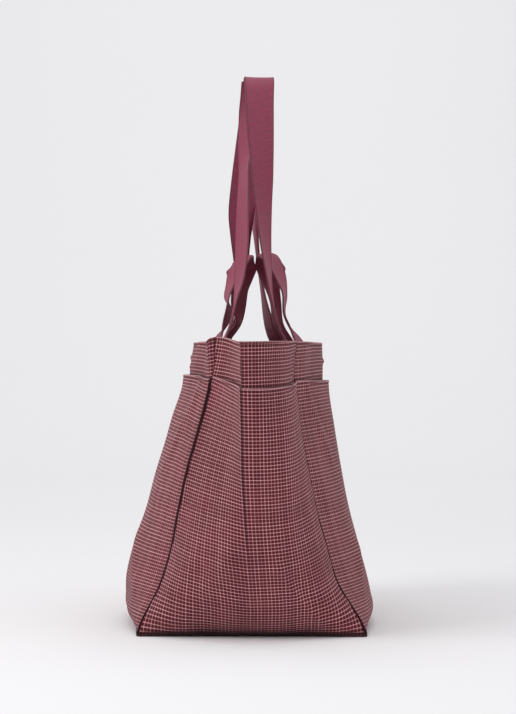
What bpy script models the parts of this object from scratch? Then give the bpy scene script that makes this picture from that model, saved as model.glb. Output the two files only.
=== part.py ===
"""A tall soft shopper bag of thin cloth, open at the top, with an outer pocket layer all round.

It stands on its base at the origin, +Z up. Its narrow ends face -Y and +Y, its wide faces -X and +X.
Two long straps and two short handles of flat webbing are sewn inside the face panels and stand upright.
"""

import math
from collections import namedtuple

import bpy
import numpy as np
from mathutils import Vector

# Driving sizes, in metres
BASE_DEPTH = 0.268
BASE_LENGTH = 0.340
RIM_HEIGHT = 0.345
POCKET_HEIGHT = 0.303
GUSSET_DEPTH = 0.106
CLOTH = 0.0015
BASE_THICKNESS = 0.003
WELT_OVERHANG = 0.0006
RIM_DIP = 0.008
POCKET_DIP = 0.006
FACE_POCKET_STAND = 0.006
END_POCKET_STAND = 0.0015
WEBBING_WIDTH = 0.038
WEBBING_THICKNESS = 0.002
LONG_RISE = 0.333
SHORT_RISE = 0.1105
STRAP_SPREAD = 0.118
ROOT_SPACING = 0.005
ROOT_LENGTH = 0.038
ROOT_BELOW_RIM = 0.034

# Clearances, in metres
SEAM_GAP = 0.0003
LAYER_GAP = 0.0003
ROOT_GAP = 0.0007
SEAM_GROOVE = 0.0022

# How finely the cloth and the webbing are divided
FACE_COLUMNS = 14
GUSSET_COLUMNS = 18
POCKET_ROWS = 12
RIM_ROWS = 3
STEPS_PER_STATION = 3

# Plan curves: the round swell of a face, and the waist that the straps pull into it at the rim
SWELL_POWER = 2.4
CORNER_POWER = 8
CORNER_SHARE = 0.3
POCKET_RISE_START = 0.3

# The outside of the cloth at each height, as shares of the sizes that it follows.
# height: of the wall. seam_left to face_right and crease_x: of half the base depth.
# seam_y: of half the base length. reach: of GUSSET_DEPTH.
# hollow: how far the left half of a gusset curves in. roll: how far its ends turn edge-on.
# pinch: how far the straps' waist replaces the round swell of a face.
Section = namedtuple(
    "Section", "height seam_left seam_right face_left face_right seam_y crease_x reach hollow roll pinch"
)
SECTIONS = (
    Section(0.000, 0.989, 0.989, 1.030, 1.015, 0.991, 0.000, 0.000, 0.00, 0.00, 0.00),
    Section(0.045, 0.948, 0.938, 1.154, 1.097, 0.982, 0.000, 0.200, 0.00, 0.00, 0.00),
    Section(0.100, 0.873, 0.849, 1.163, 1.081, 0.959, 0.000, 0.380, 0.00, 0.05, 0.00),
    Section(0.170, 0.785, 0.740, 1.157, 1.049, 0.938, -0.012, 0.530, 0.00, 0.15, 0.00),
    Section(0.280, 0.701, 0.654, 1.091, 0.973, 0.921, -0.034, 0.693, 0.10, 0.35, 0.00),
    Section(0.400, 0.643, 0.567, 0.978, 0.883, 0.926, -0.056, 0.750, 0.30, 0.55, 0.10),
    Section(0.550, 0.563, 0.484, 0.858, 0.800, 0.941, -0.076, 0.811, 0.55, 0.80, 0.25),
    Section(0.700, 0.457, 0.408, 0.731, 0.713, 0.956, -0.085, 0.868, 0.75, 0.95, 0.45),
    Section(0.820, 0.378, 0.369, 0.619, 0.657, 0.965, -0.092, 0.915, 0.88, 1.00, 0.65),
    Section(0.920, 0.334, 0.360, 0.586, 0.651, 0.971, -0.097, 0.962, 0.95, 1.00, 0.85),
    Section(1.000, 0.313, 0.388, 0.545, 0.642, 0.974, -0.100, 1.000, 1.00, 1.00, 1.00),
)

# The middle line of each strap above the rim, from its near end to its far end.
# rise: of the strap's rise. across: of the webbing's width. along: of the root's distance from the middle.
# turn: the webbing's heading in degrees, 0 with its width along X. tilt: how far its right edge is raised.
Station = namedtuple("Station", "rise across along turn tilt")
LONG_RIGHT = (
    Station(0.007, 1.030, -0.847, 88, 0),
    Station(0.079, 0.762, -0.805, 88, 0),
    Station(0.152, 0.607, -0.763, 86, 0),
    Station(0.240, 0.504, -0.712, 80, 0),
    Station(0.366, 0.395, -0.635, 69, 0),
    Station(0.497, 0.336, -0.540, 58, 0),
    Station(0.630, 0.300, -0.440, 44, 0),
    Station(0.772, 0.240, -0.320, 29, 0),
    Station(0.907, 0.205, -0.195, 19, 0),
    Station(0.971, 0.201, -0.115, 12, 0),
    Station(1.000, 0.187, 0.000, 6, 0),
    Station(0.983, 0.166, 0.115, 4, 0),
    Station(0.926, 0.145, 0.203, 2, 0),
    Station(0.780, 0.102, 0.356, -8, 0),
    Station(0.632, 0.040, 0.508, -35, 0),
    Station(0.526, 0.030, 0.576, -62, 0),
    Station(0.442, 0.078, 0.627, -80, 0),
    Station(0.311, 0.194, 0.695, -86, 0),
    Station(0.195, 0.342, 0.754, -84, 0),
    Station(0.094, 0.508, 0.805, -79, 0),
    Station(0.016, 0.705, 0.847, -77, 0),
)
LONG_LEFT = (
    Station(0.014, -0.857, -0.847, -86, 0),
    Station(0.072, -0.667, -0.822, -87, 0),
    Station(0.145, -0.540, -0.780, -85, 0),
    Station(0.244, -0.399, -0.712, -71, 0),
    Station(0.374, -0.339, -0.600, -65, 0),
    Station(0.498, -0.321, -0.470, -67, 0),
    Station(0.632, -0.289, -0.330, -71, 0),
    Station(0.736, -0.250, -0.180, -58, 0),
    Station(0.851, -0.081, -0.085, -30, 0),
    Station(0.945, 0.049, -0.045, -9, 0),
    Station(0.977, 0.080, 0.000, 0, 0),
    Station(0.949, 0.075, 0.050, 0, 0),
    Station(0.862, 0.018, 0.110, 0, 0),
    Station(0.737, -0.099, 0.210, 8, 0),
    Station(0.607, -0.268, 0.330, 20, 0),
    Station(0.498, -0.388, 0.424, 30, 0),
    Station(0.401, -0.409, 0.525, 48, 0),
    Station(0.306, -0.391, 0.627, 62, 0),
    Station(0.210, -0.409, 0.720, 74, 0),
    Station(0.117, -0.480, 0.788, 80, 0),
    Station(0.024, -0.808, 0.847, 79, 0),
)
SHORT_RIGHT = (
    Station(0.048, 1.375, -0.733, 76, 0),
    Station(0.160, 1.132, -0.707, 83, 0),
    Station(0.350, 0.998, -0.653, 87, 0),
    Station(0.519, 1.033, -0.573, 82, 0),
    Station(0.667, 0.945, -0.467, 72, 0),
    Station(0.817, 0.800, -0.347, 62, 0),
    Station(0.943, 0.610, -0.173, 55, 8),
    Station(1.000, 0.460, 0.000, 50, 13),
    Station(0.945, 0.550, 0.147, 25, 8),
    Station(0.820, 0.610, 0.267, -22, 0),
    Station(0.649, 0.640, 0.427, -60, 0),
    Station(0.467, 0.762, 0.560, -70, 0),
    Station(0.249, 0.878, 0.667, -76, 0),
    Station(0.041, 1.199, 0.733, -77, 0),
)
SHORT_LEFT = (
    Station(0.059, -1.068, -0.733, -78, 0),
    Station(0.204, -0.889, -0.707, -83, 0),
    Station(0.361, -0.808, -0.653, -86, 0),
    Station(0.497, -0.829, -0.573, -78, 0),
    Station(0.633, -0.751, -0.480, -72, 0),
    Station(0.784, -0.638, -0.347, -62, 0),
    Station(0.892, -0.430, -0.173, -54, 8),
    Station(0.935, -0.330, 0.000, -46, 14),
    Station(0.885, -0.450, 0.147, -22, 8),
    Station(0.770, -0.500, 0.267, 25, 0),
    Station(0.614, -0.400, 0.427, 58, 0),
    Station(0.444, -0.370, 0.560, 72, 0),
    Station(0.261, -0.522, 0.667, 79, 0),
    Station(0.064, -0.793, 0.733, 78, 0),
)

HALF_DEPTH = BASE_DEPTH / 2
HALF_LENGTH = BASE_LENGTH / 2
WALL_FOOT = BASE_THICKNESS + SEAM_GAP
WALL_HEIGHT = RIM_HEIGHT - WALL_FOOT
POCKET_TOP = (POCKET_HEIGHT - WALL_FOOT) / WALL_HEIGHT
SHORT_SPREAD = STRAP_SPREAD - WEBBING_WIDTH - ROOT_SPACING
LEFT, RIGHT = -1, 1
NEAR, FAR = -1, 1
STEP = 1e-4
UP = Vector((0, 0, 1))


def curve_value(start, end, slope_start, slope_end, share):
    """A value on a smooth curve from start to end, with the given change per span at each of them."""
    t2, t3 = share**2, share**3
    return (
        start * (2 * t3 - 3 * t2 + 1)
        + slope_start * (t3 - 2 * t2 + share)
        + end * (3 * t2 - 2 * t3)
        + slope_end * (t3 - t2)
    )


def section_value(column, height):
    """One column of SECTIONS at any height, on a smooth curve through its rows."""
    last = len(SECTIONS) - 1
    height = min(max(height, 0), 1)
    low = max(i for i in range(last) if SECTIONS[i].height <= height)
    before, start, end, after = (SECTIONS[min(max(low + i, 0), last)] for i in (-1, 0, 1, 2))
    span = end.height - start.height

    def slope(one, other):
        return (getattr(other, column) - getattr(one, column)) / (other.height - one.height) * span

    share = (height - start.height) / span
    values = getattr(start, column), getattr(end, column)
    return curve_value(*values, slope(before, end), slope(start, after), share)


def wall_z(height):
    """The level of a wall at a share of its height."""
    return WALL_FOOT + WALL_HEIGHT * height


def face_point(side, along, height):
    """A point on the outside of a face panel: along runs from -1 at the near seam to 1 at the far one."""
    seam = section_value("seam_left" if side == LEFT else "seam_right", height) * HALF_DEPTH
    middle = section_value("face_left" if side == LEFT else "face_right", height) * HALF_DEPTH
    swell = 1 - abs(along) ** SWELL_POWER
    corner = 1 - abs(along) ** CORNER_POWER
    waist = CORNER_SHARE * corner + (1 - CORNER_SHARE) * math.cos(math.pi * along / 2) ** 2
    pinch = section_value("pinch", height)
    out = seam + (middle - seam) * ((1 - pinch) * swell + pinch * waist)
    return Vector((side * out, section_value("seam_y", height) * HALF_LENGTH * along, wall_z(height)))


def gusset_point(end, across, height):
    """A point on the outside of a gusset: across runs from -1 at the left seam to 1 at the right one."""
    angle = abs(across) * math.pi / 2
    roll = section_value("roll", height)
    sideways = (1 - roll) * abs(across) + roll * math.sin(angle)
    outwards = math.cos(angle)
    if across < 0:
        hollow = section_value("hollow", height)
        sideways += hollow * (1 - math.cos(angle) - sideways)
        outwards += hollow * (1 - math.sin(angle) - outwards)
    seam = -section_value("seam_left", height) if across < 0 else section_value("seam_right", height)
    crease = section_value("crease_x", height)
    x = (crease + (seam - crease) * sideways) * HALF_DEPTH
    y = section_value("seam_y", height) * HALF_LENGTH + section_value("reach", height) * GUSSET_DEPTH * outwards
    dip = RIM_DIP * height**2 * (1 - abs(across))
    return Vector((x, end * y, wall_z(height) - dip))


def even(columns):
    """Places from -1 to 1, evenly spaced."""
    return [2 * i / columns - 1 for i in range(columns + 1)]


def closer_at_ends(columns):
    """Places from -1 to 1, closer together at both ends."""
    return [math.sin(math.pi / 2 * place) for place in even(columns)]


# Each panel's outside runs counter-clockwise round the bag, seen from above.
Panel = namedtuple("Panel", "point places")
NEAR_GUSSET = Panel(lambda place, height: gusset_point(NEAR, place, height), even(GUSSET_COLUMNS))
RIGHT_FACE = Panel(lambda place, height: face_point(RIGHT, place, height), closer_at_ends(FACE_COLUMNS))
FAR_GUSSET = Panel(lambda place, height: gusset_point(FAR, -place, height), even(GUSSET_COLUMNS))
LEFT_FACE = Panel(lambda place, height: face_point(LEFT, -place, height), closer_at_ends(FACE_COLUMNS))
ROUND = (NEAR_GUSSET, RIGHT_FACE, FAR_GUSSET, LEFT_FACE)


def mitre(panel, column, height, level):
    """The direction in which a layer's thickness is laid at a column, as long as a thickness of 1 needs.

    At a seam or a crease it halves the corner. A level edge keeps it horizontal.
    """
    places = panel.places
    here = panel.point(places[column], height)
    neighbours = ROUND[ROUND.index(panel) - 1], ROUND[(ROUND.index(panel) + 1) % len(ROUND)]
    if column == 0:
        before = neighbours[0].point(neighbours[0].places[-2], height)
    else:
        before = panel.point(places[column - 1], height)
    if column == len(places) - 1:
        after = neighbours[1].point(neighbours[1].places[1], height)
    else:
        after = panel.point(places[column + 1], height)
    low, high = max(height - STEP, 0), min(height + STEP, 1)
    rising = (panel.point(places[column], high) - panel.point(places[column], low)).normalized()
    first = (here - before).cross(rising).normalized()
    second = (after - here).cross(rising).normalized()
    sloped = (first + second) / (1 + first.dot(second))
    if not level:
        return sloped
    first = (here - before).cross(UP).normalized()
    second = (after - here).cross(UP).normalized()
    flat = (first + second) / (1 + first.dot(second))
    return flat * (sloped.dot(sloped) / sloped.dot(flat))


def pulled_back(row, gap):
    """A row of points with each end moved back from its seam by half the gap."""
    row = list(row)
    for end, inner in ((0, 1), (-1, -2)):
        row[end] = row[end] + (row[inner] - row[end]).normalized() * gap / 2
    return row


def closed_sheet(name, outer, inner, material):
    """One closed solid between two grids of points. Both grids split their quads along the same diagonal."""
    rows, columns = len(outer), len(outer[0])
    points = [point for grid in (outer, inner) for row in grid for point in row]
    top, last = rows - 1, columns - 1

    def at(grid, row, column):
        return (grid * rows + row) * columns + column

    faces = []
    for r in range(top):
        for c in range(last):
            for grid in (0, 1):
                foot, side = at(grid, r, c), at(grid, r, c + 1)
                above, across = at(grid, r + 1, c), at(grid, r + 1, c + 1)
                pair = [(foot, side, across), (foot, across, above)]
                faces += [face[::-1] for face in pair] if grid else pair
        faces.append((at(0, r, 0), at(0, r + 1, 0), at(1, r + 1, 0), at(1, r, 0)))
        faces.append((at(0, r, last), at(1, r, last), at(1, r + 1, last), at(0, r + 1, last)))
    for c in range(last):
        faces.append((at(0, 0, c), at(1, 0, c), at(1, 0, c + 1), at(0, 0, c + 1)))
        faces.append((at(0, top, c), at(0, top, c + 1), at(1, top, c + 1), at(1, top, c)))
    return solid(name, points, faces, material)


def solid(name, points, faces, material):
    """An object from points and faces, shaded smooth up to its edges."""
    mesh = bpy.data.meshes.new(name)
    mesh.from_pydata([tuple(point) for point in points], [], faces)
    mesh.materials.append(material)
    mesh.shade_smooth()
    mesh.set_sharp_from_angle(angle=math.radians(40))
    obj = bpy.data.objects.new(name, mesh)
    bpy.context.scene.collection.objects.link(obj)
    return obj


def pocket_top(panel, place):
    """The height of the pocket layer's edge, which dips to the crease of a gusset."""
    dip = POCKET_DIP if panel in (NEAR_GUSSET, FAR_GUSSET) else 0
    return POCKET_TOP - dip * (1 - abs(place)) / WALL_HEIGHT


def row_height(panel, place, row):
    """The height of a row of points. The pocket layer ends at POCKET_ROWS, and the walls behind it go on."""
    top = pocket_top(panel, place)
    if row <= POCKET_ROWS:
        return top * row / POCKET_ROWS
    return top + (1 - top) * (row - POCKET_ROWS) / RIM_ROWS


def layer(name, panel, rows, inside_of, gap, material):
    """One panel of cloth: inside_of gives how far its inside stands off the outside of the bag's own wall."""
    outer, inner = [], []
    for row in range(rows + 1):
        outer_row, inner_row = [], []
        for column, place in enumerate(panel.places):
            height = row_height(panel, place, row)
            point = panel.point(place, height)
            direction = mitre(panel, column, height, row in (0, rows))
            inside = inside_of(place, height)
            outer_row.append(point + direction * (inside + CLOTH))
            inner_row.append(point + direction * inside)
        outer.append(pulled_back(outer_row, gap))
        inner.append(pulled_back(inner_row, gap))
    return closed_sheet(name, outer, inner, material)


def body_wall(name, panel, material):
    """A wall of the bag itself, from the base to the rim."""
    return layer(name, panel, POCKET_ROWS + RIM_ROWS, lambda place, height: -CLOTH, SEAM_GAP, material)


def pocket_wall(name, panel, stand, material):
    """A wall of the outer pocket layer, which stands off the body most at the middle of its mouth."""

    def inside_of(place, height):
        share = min(max((height - POCKET_RISE_START) / (POCKET_TOP - POCKET_RISE_START), 0), 1)
        rising = share**2 * (3 - 2 * share)
        return LAYER_GAP + stand * rising * (1 - place**2)

    return layer(name, panel, POCKET_ROWS, inside_of, SEAM_GROOVE, material)


def base(name, material):
    """The flat bottom, whose folded edge stands a little proud of both layers of cloth."""
    reach = LAYER_GAP + CLOTH + WELT_OVERHANG
    outline = []
    for panel in ROUND:
        for column, place in enumerate(panel.places[:-1]):
            direction = mitre(panel, column, 0, True)
            direction = direction / direction.length * reach
            outline.append(panel.point(place, 0) + direction)
    count = len(outline)
    points = [Vector((p.x, p.y, z)) for z in (0, BASE_THICKNESS) for p in outline]
    faces = [tuple(reversed(range(count))), tuple(range(count, 2 * count))]
    for i in range(count):
        after = (i + 1) % count
        faces.append((i, after, count + after, count + i))
    return solid(name, points, faces, material)


def root_stations(side, spread, end):
    """The right edge, middle and left edge of a strap's sewn end on the panel, from its foot upwards."""
    inward = CLOTH + ROOT_GAP + WEBBING_THICKNESS / 2
    found = []
    for below in (ROOT_BELOW_RIM + ROOT_LENGTH, ROOT_BELOW_RIM + ROOT_LENGTH / 2, ROOT_BELOW_RIM):
        height = 1 - below / WALL_HEIGHT
        seam = section_value("seam_y", height) * HALF_LENGTH
        across = []
        for share in (0.5, 0, -0.5):
            along = (end * spread - share * end * side * WEBBING_WIDTH) / seam
            here = face_point(side, along, height)
            forward = face_point(side, along + STEP, height) - face_point(side, along - STEP, height)
            rising = face_point(side, along, height + STEP) - face_point(side, along, height - STEP)
            across.append(here - forward.cross(rising).normalized() * side * inward)
        found.append(across)
    return found


def free_stations(spread, rise, stations):
    """The right edge, middle and left edge of a strap at each of its stations above the rim."""
    found = []
    for row in stations:
        turn, tilt = math.radians(row.turn), math.radians(row.tilt)
        middle = Vector((row.across * WEBBING_WIDTH, row.along * spread, RIM_HEIGHT + row.rise * rise))
        half = Vector((math.cos(turn), math.sin(turn), math.sin(tilt))).normalized() * WEBBING_WIDTH / 2
        found.append([middle + half, middle, middle - half])
    return found


def steady_slopes(places, values):
    """Slopes at each place that carry a smooth curve through the values and never past them."""
    rates = np.diff(values, axis=0) / np.diff(places)[:, None, None]
    product = rates[:-1] * rates[1:]
    total = np.where(product > 0, rates[:-1] + rates[1:], 1)
    inside = np.where(product > 0, 2 * product / total, 0)
    return np.concatenate([rates[:1], inside, rates[-1:]])


def strap(name, side, spread, rise, stations, material):
    """A strap of flat webbing, lofted from one sewn end over the top to the other."""
    near, far = (root_stations(side, spread, end) for end in (NEAR, FAR))
    rows = np.array(near + free_stations(spread, rise, stations) + far[::-1])
    places = np.concatenate([[0], np.cumsum(np.linalg.norm(np.diff(rows[:, 1], axis=0), axis=1))])
    slopes = steady_slopes(places, rows)
    line = []
    for i in range(len(rows) - 1):
        span = places[i + 1] - places[i]
        for step in range(STEPS_PER_STATION):
            share = step / STEPS_PER_STATION
            line.append(curve_value(rows[i], rows[i + 1], slopes[i] * span, slopes[i + 1] * span, share))
    line.append(rows[-1])
    outer, inner = [], []
    for i, points in enumerate(line):
        right, middle, left = (Vector(point) for point in points)
        ahead = Vector(line[min(i + 1, len(line) - 1)][1] - line[max(i - 1, 0)][1])
        depth = ahead.cross(right - left).normalized() * WEBBING_THICKNESS / 2
        half = WEBBING_WIDTH / 2
        across = (
            middle + (right - middle).normalized() * half,
            middle,
            middle + (left - middle).normalized() * half,
        )
        outer.append([point + depth for point in across])
        inner.append([point - depth for point in across])
    return closed_sheet(name, outer, inner, material)


def fabric(name, colour, roughness):
    """A matt woven material."""
    material = bpy.data.materials.new(name)
    material.use_nodes = True
    shader = material.node_tree.nodes["Principled BSDF"]
    shader.inputs["Base Color"].default_value = (*colour, 1)
    shader.inputs["Roughness"].default_value = roughness
    shader.inputs["Metallic"].default_value = 0
    return material


def build():
    """Builds every piece of the bag."""
    for obj in list(bpy.data.objects):
        bpy.data.objects.remove(obj)

    walls = {
        "gusset_near": NEAR_GUSSET,
        "face_panel_right": RIGHT_FACE,
        "gusset_far": FAR_GUSSET,
        "face_panel_left": LEFT_FACE,
    }
    for name, panel in walls.items():
        body_wall(name, panel, fabric(f"{name}_cloth", (0.18, 0.06, 0.08), 0.8))
    for name, panel in {"pocket_end_near": NEAR_GUSSET, "pocket_end_far": FAR_GUSSET}.items():
        pocket_wall(name, panel, END_POCKET_STAND, fabric(f"{name}_cloth", (0.20, 0.07, 0.09), 0.8))
    for name, panel in {"pocket_face_right": RIGHT_FACE, "pocket_face_left": LEFT_FACE}.items():
        pocket_wall(name, panel, FACE_POCKET_STAND, fabric(f"{name}_cloth", (0.20, 0.07, 0.09), 0.8))
    base("base_panel", fabric("base_panel_cloth", (0.14, 0.04, 0.06), 0.85))

    straps = {
        "long_strap_right": (RIGHT, STRAP_SPREAD, LONG_RISE, LONG_RIGHT),
        "long_strap_left": (LEFT, STRAP_SPREAD, LONG_RISE, LONG_LEFT),
        "short_handle_right": (RIGHT, SHORT_SPREAD, SHORT_RISE, SHORT_RIGHT),
        "short_handle_left": (LEFT, SHORT_SPREAD, SHORT_RISE, SHORT_LEFT),
    }
    for name, shape in straps.items():
        strap(name, *shape, fabric(f"{name}_webbing", (0.25, 0.05, 0.09), 0.6))


build()
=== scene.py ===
"""The looks of a tall soft shopper bag: check cloth, seams, hems and webbing straps, in soft studio light.

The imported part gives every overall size. Each piece here stands for one of its nodes, or is sewn to one.
"""

import logging
import math
from collections.abc import Callable, Sequence
from dataclasses import dataclass, field
from enum import Enum
from functools import partial
from typing import NamedTuple

import bpy
import numpy as np
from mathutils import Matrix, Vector


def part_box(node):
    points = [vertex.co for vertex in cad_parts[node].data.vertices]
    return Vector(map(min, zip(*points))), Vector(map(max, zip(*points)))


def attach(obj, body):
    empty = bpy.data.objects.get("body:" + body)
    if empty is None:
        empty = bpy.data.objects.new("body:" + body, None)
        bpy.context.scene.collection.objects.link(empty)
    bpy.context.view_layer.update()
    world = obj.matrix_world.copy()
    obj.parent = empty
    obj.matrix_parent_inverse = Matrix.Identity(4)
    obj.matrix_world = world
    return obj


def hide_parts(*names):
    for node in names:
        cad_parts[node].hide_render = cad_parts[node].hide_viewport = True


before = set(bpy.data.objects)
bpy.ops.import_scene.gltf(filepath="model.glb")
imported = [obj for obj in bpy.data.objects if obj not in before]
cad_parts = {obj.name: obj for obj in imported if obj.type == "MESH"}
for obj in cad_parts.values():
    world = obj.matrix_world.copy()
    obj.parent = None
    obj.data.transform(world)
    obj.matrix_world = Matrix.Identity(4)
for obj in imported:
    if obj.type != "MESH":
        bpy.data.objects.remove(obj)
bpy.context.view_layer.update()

logging.basicConfig(level=logging.INFO, format="%(message)s")
LOG = logging.getLogger("shopper_bag")

Array = np.ndarray
Socket = bpy.types.NodeSocket
Piece = bpy.types.Object
Material = bpy.types.Material
Colour = tuple[float, float, float]
Outside = tuple[Array, Array, Array]

BODY = "root"
IMAGE_WIDTH = 516
IMAGE_HEIGHT = 714
MILLIMETRE = 0.001
UP = np.array([0.0, 0.0, 1.0])


class Section(NamedTuple):
    """The outside of the cloth at one height, as shares of the sizes that it follows.

    height is a share of the wall. seam_left to face_right and crease_x are shares of half the base's depth,
    seam_y of half its length, and reach of the gusset's depth. hollow is how far the left half of a gusset
    curves in, roll how far its ends turn edge-on, pinch how far the straps' waist replaces a face's round
    swell, and flat how flat the middle of a gusset is. drop is how much lower a thread lies at a gusset's
    middle than at its seams, in metres.
    """

    height: float
    seam_left: float
    seam_right: float
    face_left: float
    face_right: float
    seam_y: float
    crease_x: float
    reach: float
    hollow: float
    roll: float
    pinch: float
    flat: float
    drop: float


SECTIONS = (
    Section(0.000, 0.989, 0.989, 1.030, 1.015, 0.991, 0.000, 0.000, 0.00, 0.00, 0.00, 1.00, 0.0000),
    Section(0.045, 0.948, 0.938, 1.142, 1.097, 0.982, 0.000, 0.200, 0.00, 0.00, 0.00, 1.00, 0.0120),
    Section(0.100, 0.873, 0.849, 1.146, 1.081, 0.959, 0.000, 0.380, 0.00, 0.05, 0.00, 0.90, 0.0190),
    Section(0.170, 0.785, 0.740, 1.140, 1.049, 0.938, -0.012, 0.530, 0.00, 0.15, 0.00, 0.60, 0.0215),
    Section(0.280, 0.701, 0.654, 1.078, 0.973, 0.921, -0.034, 0.693, 0.10, 0.35, 0.00, 0.30, 0.0190),
    Section(0.400, 0.643, 0.567, 0.966, 0.883, 0.926, -0.056, 0.750, 0.30, 0.55, 0.10, 0.00, 0.0140),
    Section(0.550, 0.563, 0.484, 0.848, 0.800, 0.941, -0.076, 0.811, 0.55, 0.80, 0.25, 0.00, 0.0105),
    Section(0.700, 0.457, 0.408, 0.718, 0.713, 0.956, -0.085, 0.868, 0.75, 0.95, 0.45, 0.00, 0.0080),
    Section(0.820, 0.378, 0.369, 0.605, 0.657, 0.965, -0.092, 0.915, 0.88, 1.00, 0.65, 0.00, 0.0065),
    Section(0.920, 0.336, 0.360, 0.580, 0.651, 0.971, -0.097, 0.962, 0.95, 1.00, 0.85, 0.00, 0.0050),
    Section(1.000, 0.329, 0.388, 0.545, 0.642, 0.974, -0.100, 1.000, 1.00, 1.00, 1.00, 0.00, 0.0040),
)


class Station(NamedTuple):
    """A place on the middle line of a strap above the rim.

    rise is a share of the strap's rise, across of the webbing's width and along of the root's distance from
    the middle. turn is the webbing's heading in degrees, 0 with its width along X, and tilt raises its right
    edge. arch is how far its middle stands above its edges, as a share of its width.
    """

    rise: float
    across: float
    along: float
    turn: float
    tilt: float = 0
    arch: float = 0


LONG_RIGHT = (
    Station(0.007, 1.030, -0.847, 88),
    Station(0.079, 0.762, -0.805, 88),
    Station(0.152, 0.607, -0.763, 86),
    Station(0.240, 0.504, -0.712, 80),
    Station(0.366, 0.395, -0.635, 69),
    Station(0.497, 0.336, -0.540, 58),
    Station(0.630, 0.300, -0.440, 44),
    Station(0.772, 0.240, -0.320, 29),
    Station(0.907, 0.205, -0.195, 19),
    Station(0.971, 0.201, -0.115, 12),
    Station(1.000, 0.187, 0.000, 6),
    Station(0.983, 0.166, 0.115, 4),
    Station(0.926, 0.145, 0.203, 2),
    Station(0.780, 0.102, 0.356, -8),
    Station(0.632, 0.040, 0.508, -35),
    Station(0.526, 0.030, 0.576, -62),
    Station(0.442, 0.078, 0.627, -80),
    Station(0.311, 0.194, 0.695, -86),
    Station(0.195, 0.342, 0.754, -84),
    Station(0.094, 0.522, 0.805, -73),
    Station(0.016, 0.770, 0.847, -65),
)
LONG_LEFT = (
    Station(0.014, -0.857, -0.847, -86),
    Station(0.072, -0.667, -0.822, -87),
    Station(0.145, -0.540, -0.780, -85),
    Station(0.244, -0.399, -0.712, -71),
    Station(0.374, -0.339, -0.600, -65),
    Station(0.498, -0.321, -0.470, -67),
    Station(0.632, -0.289, -0.330, -71),
    Station(0.736, -0.215, -0.180, -58),
    Station(0.851, -0.045, -0.085, -30),
    Station(0.948, 0.085, -0.045, -9),
    Station(0.986, 0.110, 0.000, 0),
    Station(0.952, 0.105, 0.050, 0),
    Station(0.862, 0.045, 0.110, 0),
    Station(0.737, -0.099, 0.210, 8),
    Station(0.607, -0.268, 0.330, 20),
    Station(0.498, -0.388, 0.424, 30),
    Station(0.401, -0.409, 0.525, 48),
    Station(0.306, -0.391, 0.627, 62),
    Station(0.210, -0.409, 0.720, 74),
    Station(0.117, -0.480, 0.788, 80),
    Station(0.024, -0.808, 0.847, 79),
)
SHORT_RIGHT = (
    Station(0.048, 1.415, -0.733, 76),
    Station(0.160, 1.205, -0.707, 89),
    Station(0.350, 0.998, -0.653, 87),
    Station(0.519, 1.033, -0.573, 82),
    Station(0.667, 0.945, -0.467, 72),
    Station(0.817, 0.800, -0.347, 62),
    Station(0.943, 0.610, -0.173, 55, 2),
    Station(0.982, 0.450, 0.000, 48, 5, 0.14),
    Station(0.920, 0.550, 0.147, 25, -6),
    Station(0.820, 0.610, 0.267, -22),
    Station(0.649, 0.640, 0.427, -60),
    Station(0.467, 0.762, 0.560, -70),
    Station(0.249, 0.829, 0.667, -72),
    Station(0.041, 1.165, 0.733, -72),
)
SHORT_LEFT = (
    Station(0.059, -1.068, -0.733, -78),
    Station(0.204, -0.860, -0.707, -99),
    Station(0.361, -0.735, -0.653, -102),
    Station(0.497, -0.835, -0.573, -80),
    Station(0.633, -0.725, -0.480, -74),
    Station(0.784, -0.580, -0.347, -62),
    Station(0.892, -0.400, -0.173, -54, 8),
    Station(0.935, -0.310, 0.000, -44, 14, 0.16),
    Station(0.885, -0.345, 0.147, -38, 8),
    Station(0.770, -0.390, 0.267, 30),
    Station(0.614, -0.430, 0.427, 56),
    Station(0.444, -0.470, 0.560, 60),
    Station(0.261, -0.435, 0.667, 79),
    Station(0.064, -0.830, 0.733, 76),
)


class Side(Enum):
    """The four walls of the bag, counter-clockwise seen from above."""

    NEAR = "near"
    RIGHT = "right"
    FAR = "far"
    LEFT = "left"

    @property
    def is_gusset(self) -> bool:
        """Whether the wall is one of the two narrow ends."""
        return self in (Side.NEAR, Side.FAR)

    @property
    def sign(self) -> int:
        """Which way the wall faces along its own axis."""
        return 1 if self in (Side.RIGHT, Side.FAR) else -1

    @property
    def turn(self) -> int:
        """1 where the wall's own shape runs counter-clockwise, and -1 where it runs the other way."""
        return 1 if self in (Side.NEAR, Side.RIGHT) else -1

    def neighbour(self, step: int) -> "Side":
        """The wall that many places further round."""
        ring = list(Side)
        return ring[(ring.index(self) + step) % len(ring)]


def eased(share: Array) -> Array:
    """A share from 0 to 1 that starts and ends gently."""
    share = np.clip(share, 0, 1)
    return share * share * (3 - 2 * share)


def bump(distance: Array, width: float) -> Array:
    """A soft hill of height 1 at distance 0, which is gone about a width away."""
    return np.exp(-((distance / width) ** 2) * 2)


def unit(vectors: Array) -> Array:
    """The same directions, each with length 1."""
    return vectors / np.linalg.norm(vectors, axis=-1, keepdims=True)


def run_of(path: Array) -> Array:
    """How far each point is along a path, in metres."""
    return np.concatenate([[0], np.cumsum(np.linalg.norm(np.diff(path, axis=0), axis=1))])


def seam_distance(u: Array) -> Array:
    """How far each point of a panel is from its nearer side seam, along the cloth."""
    return np.minimum(u - u[:, :1], u[:, -1:] - u)


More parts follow.
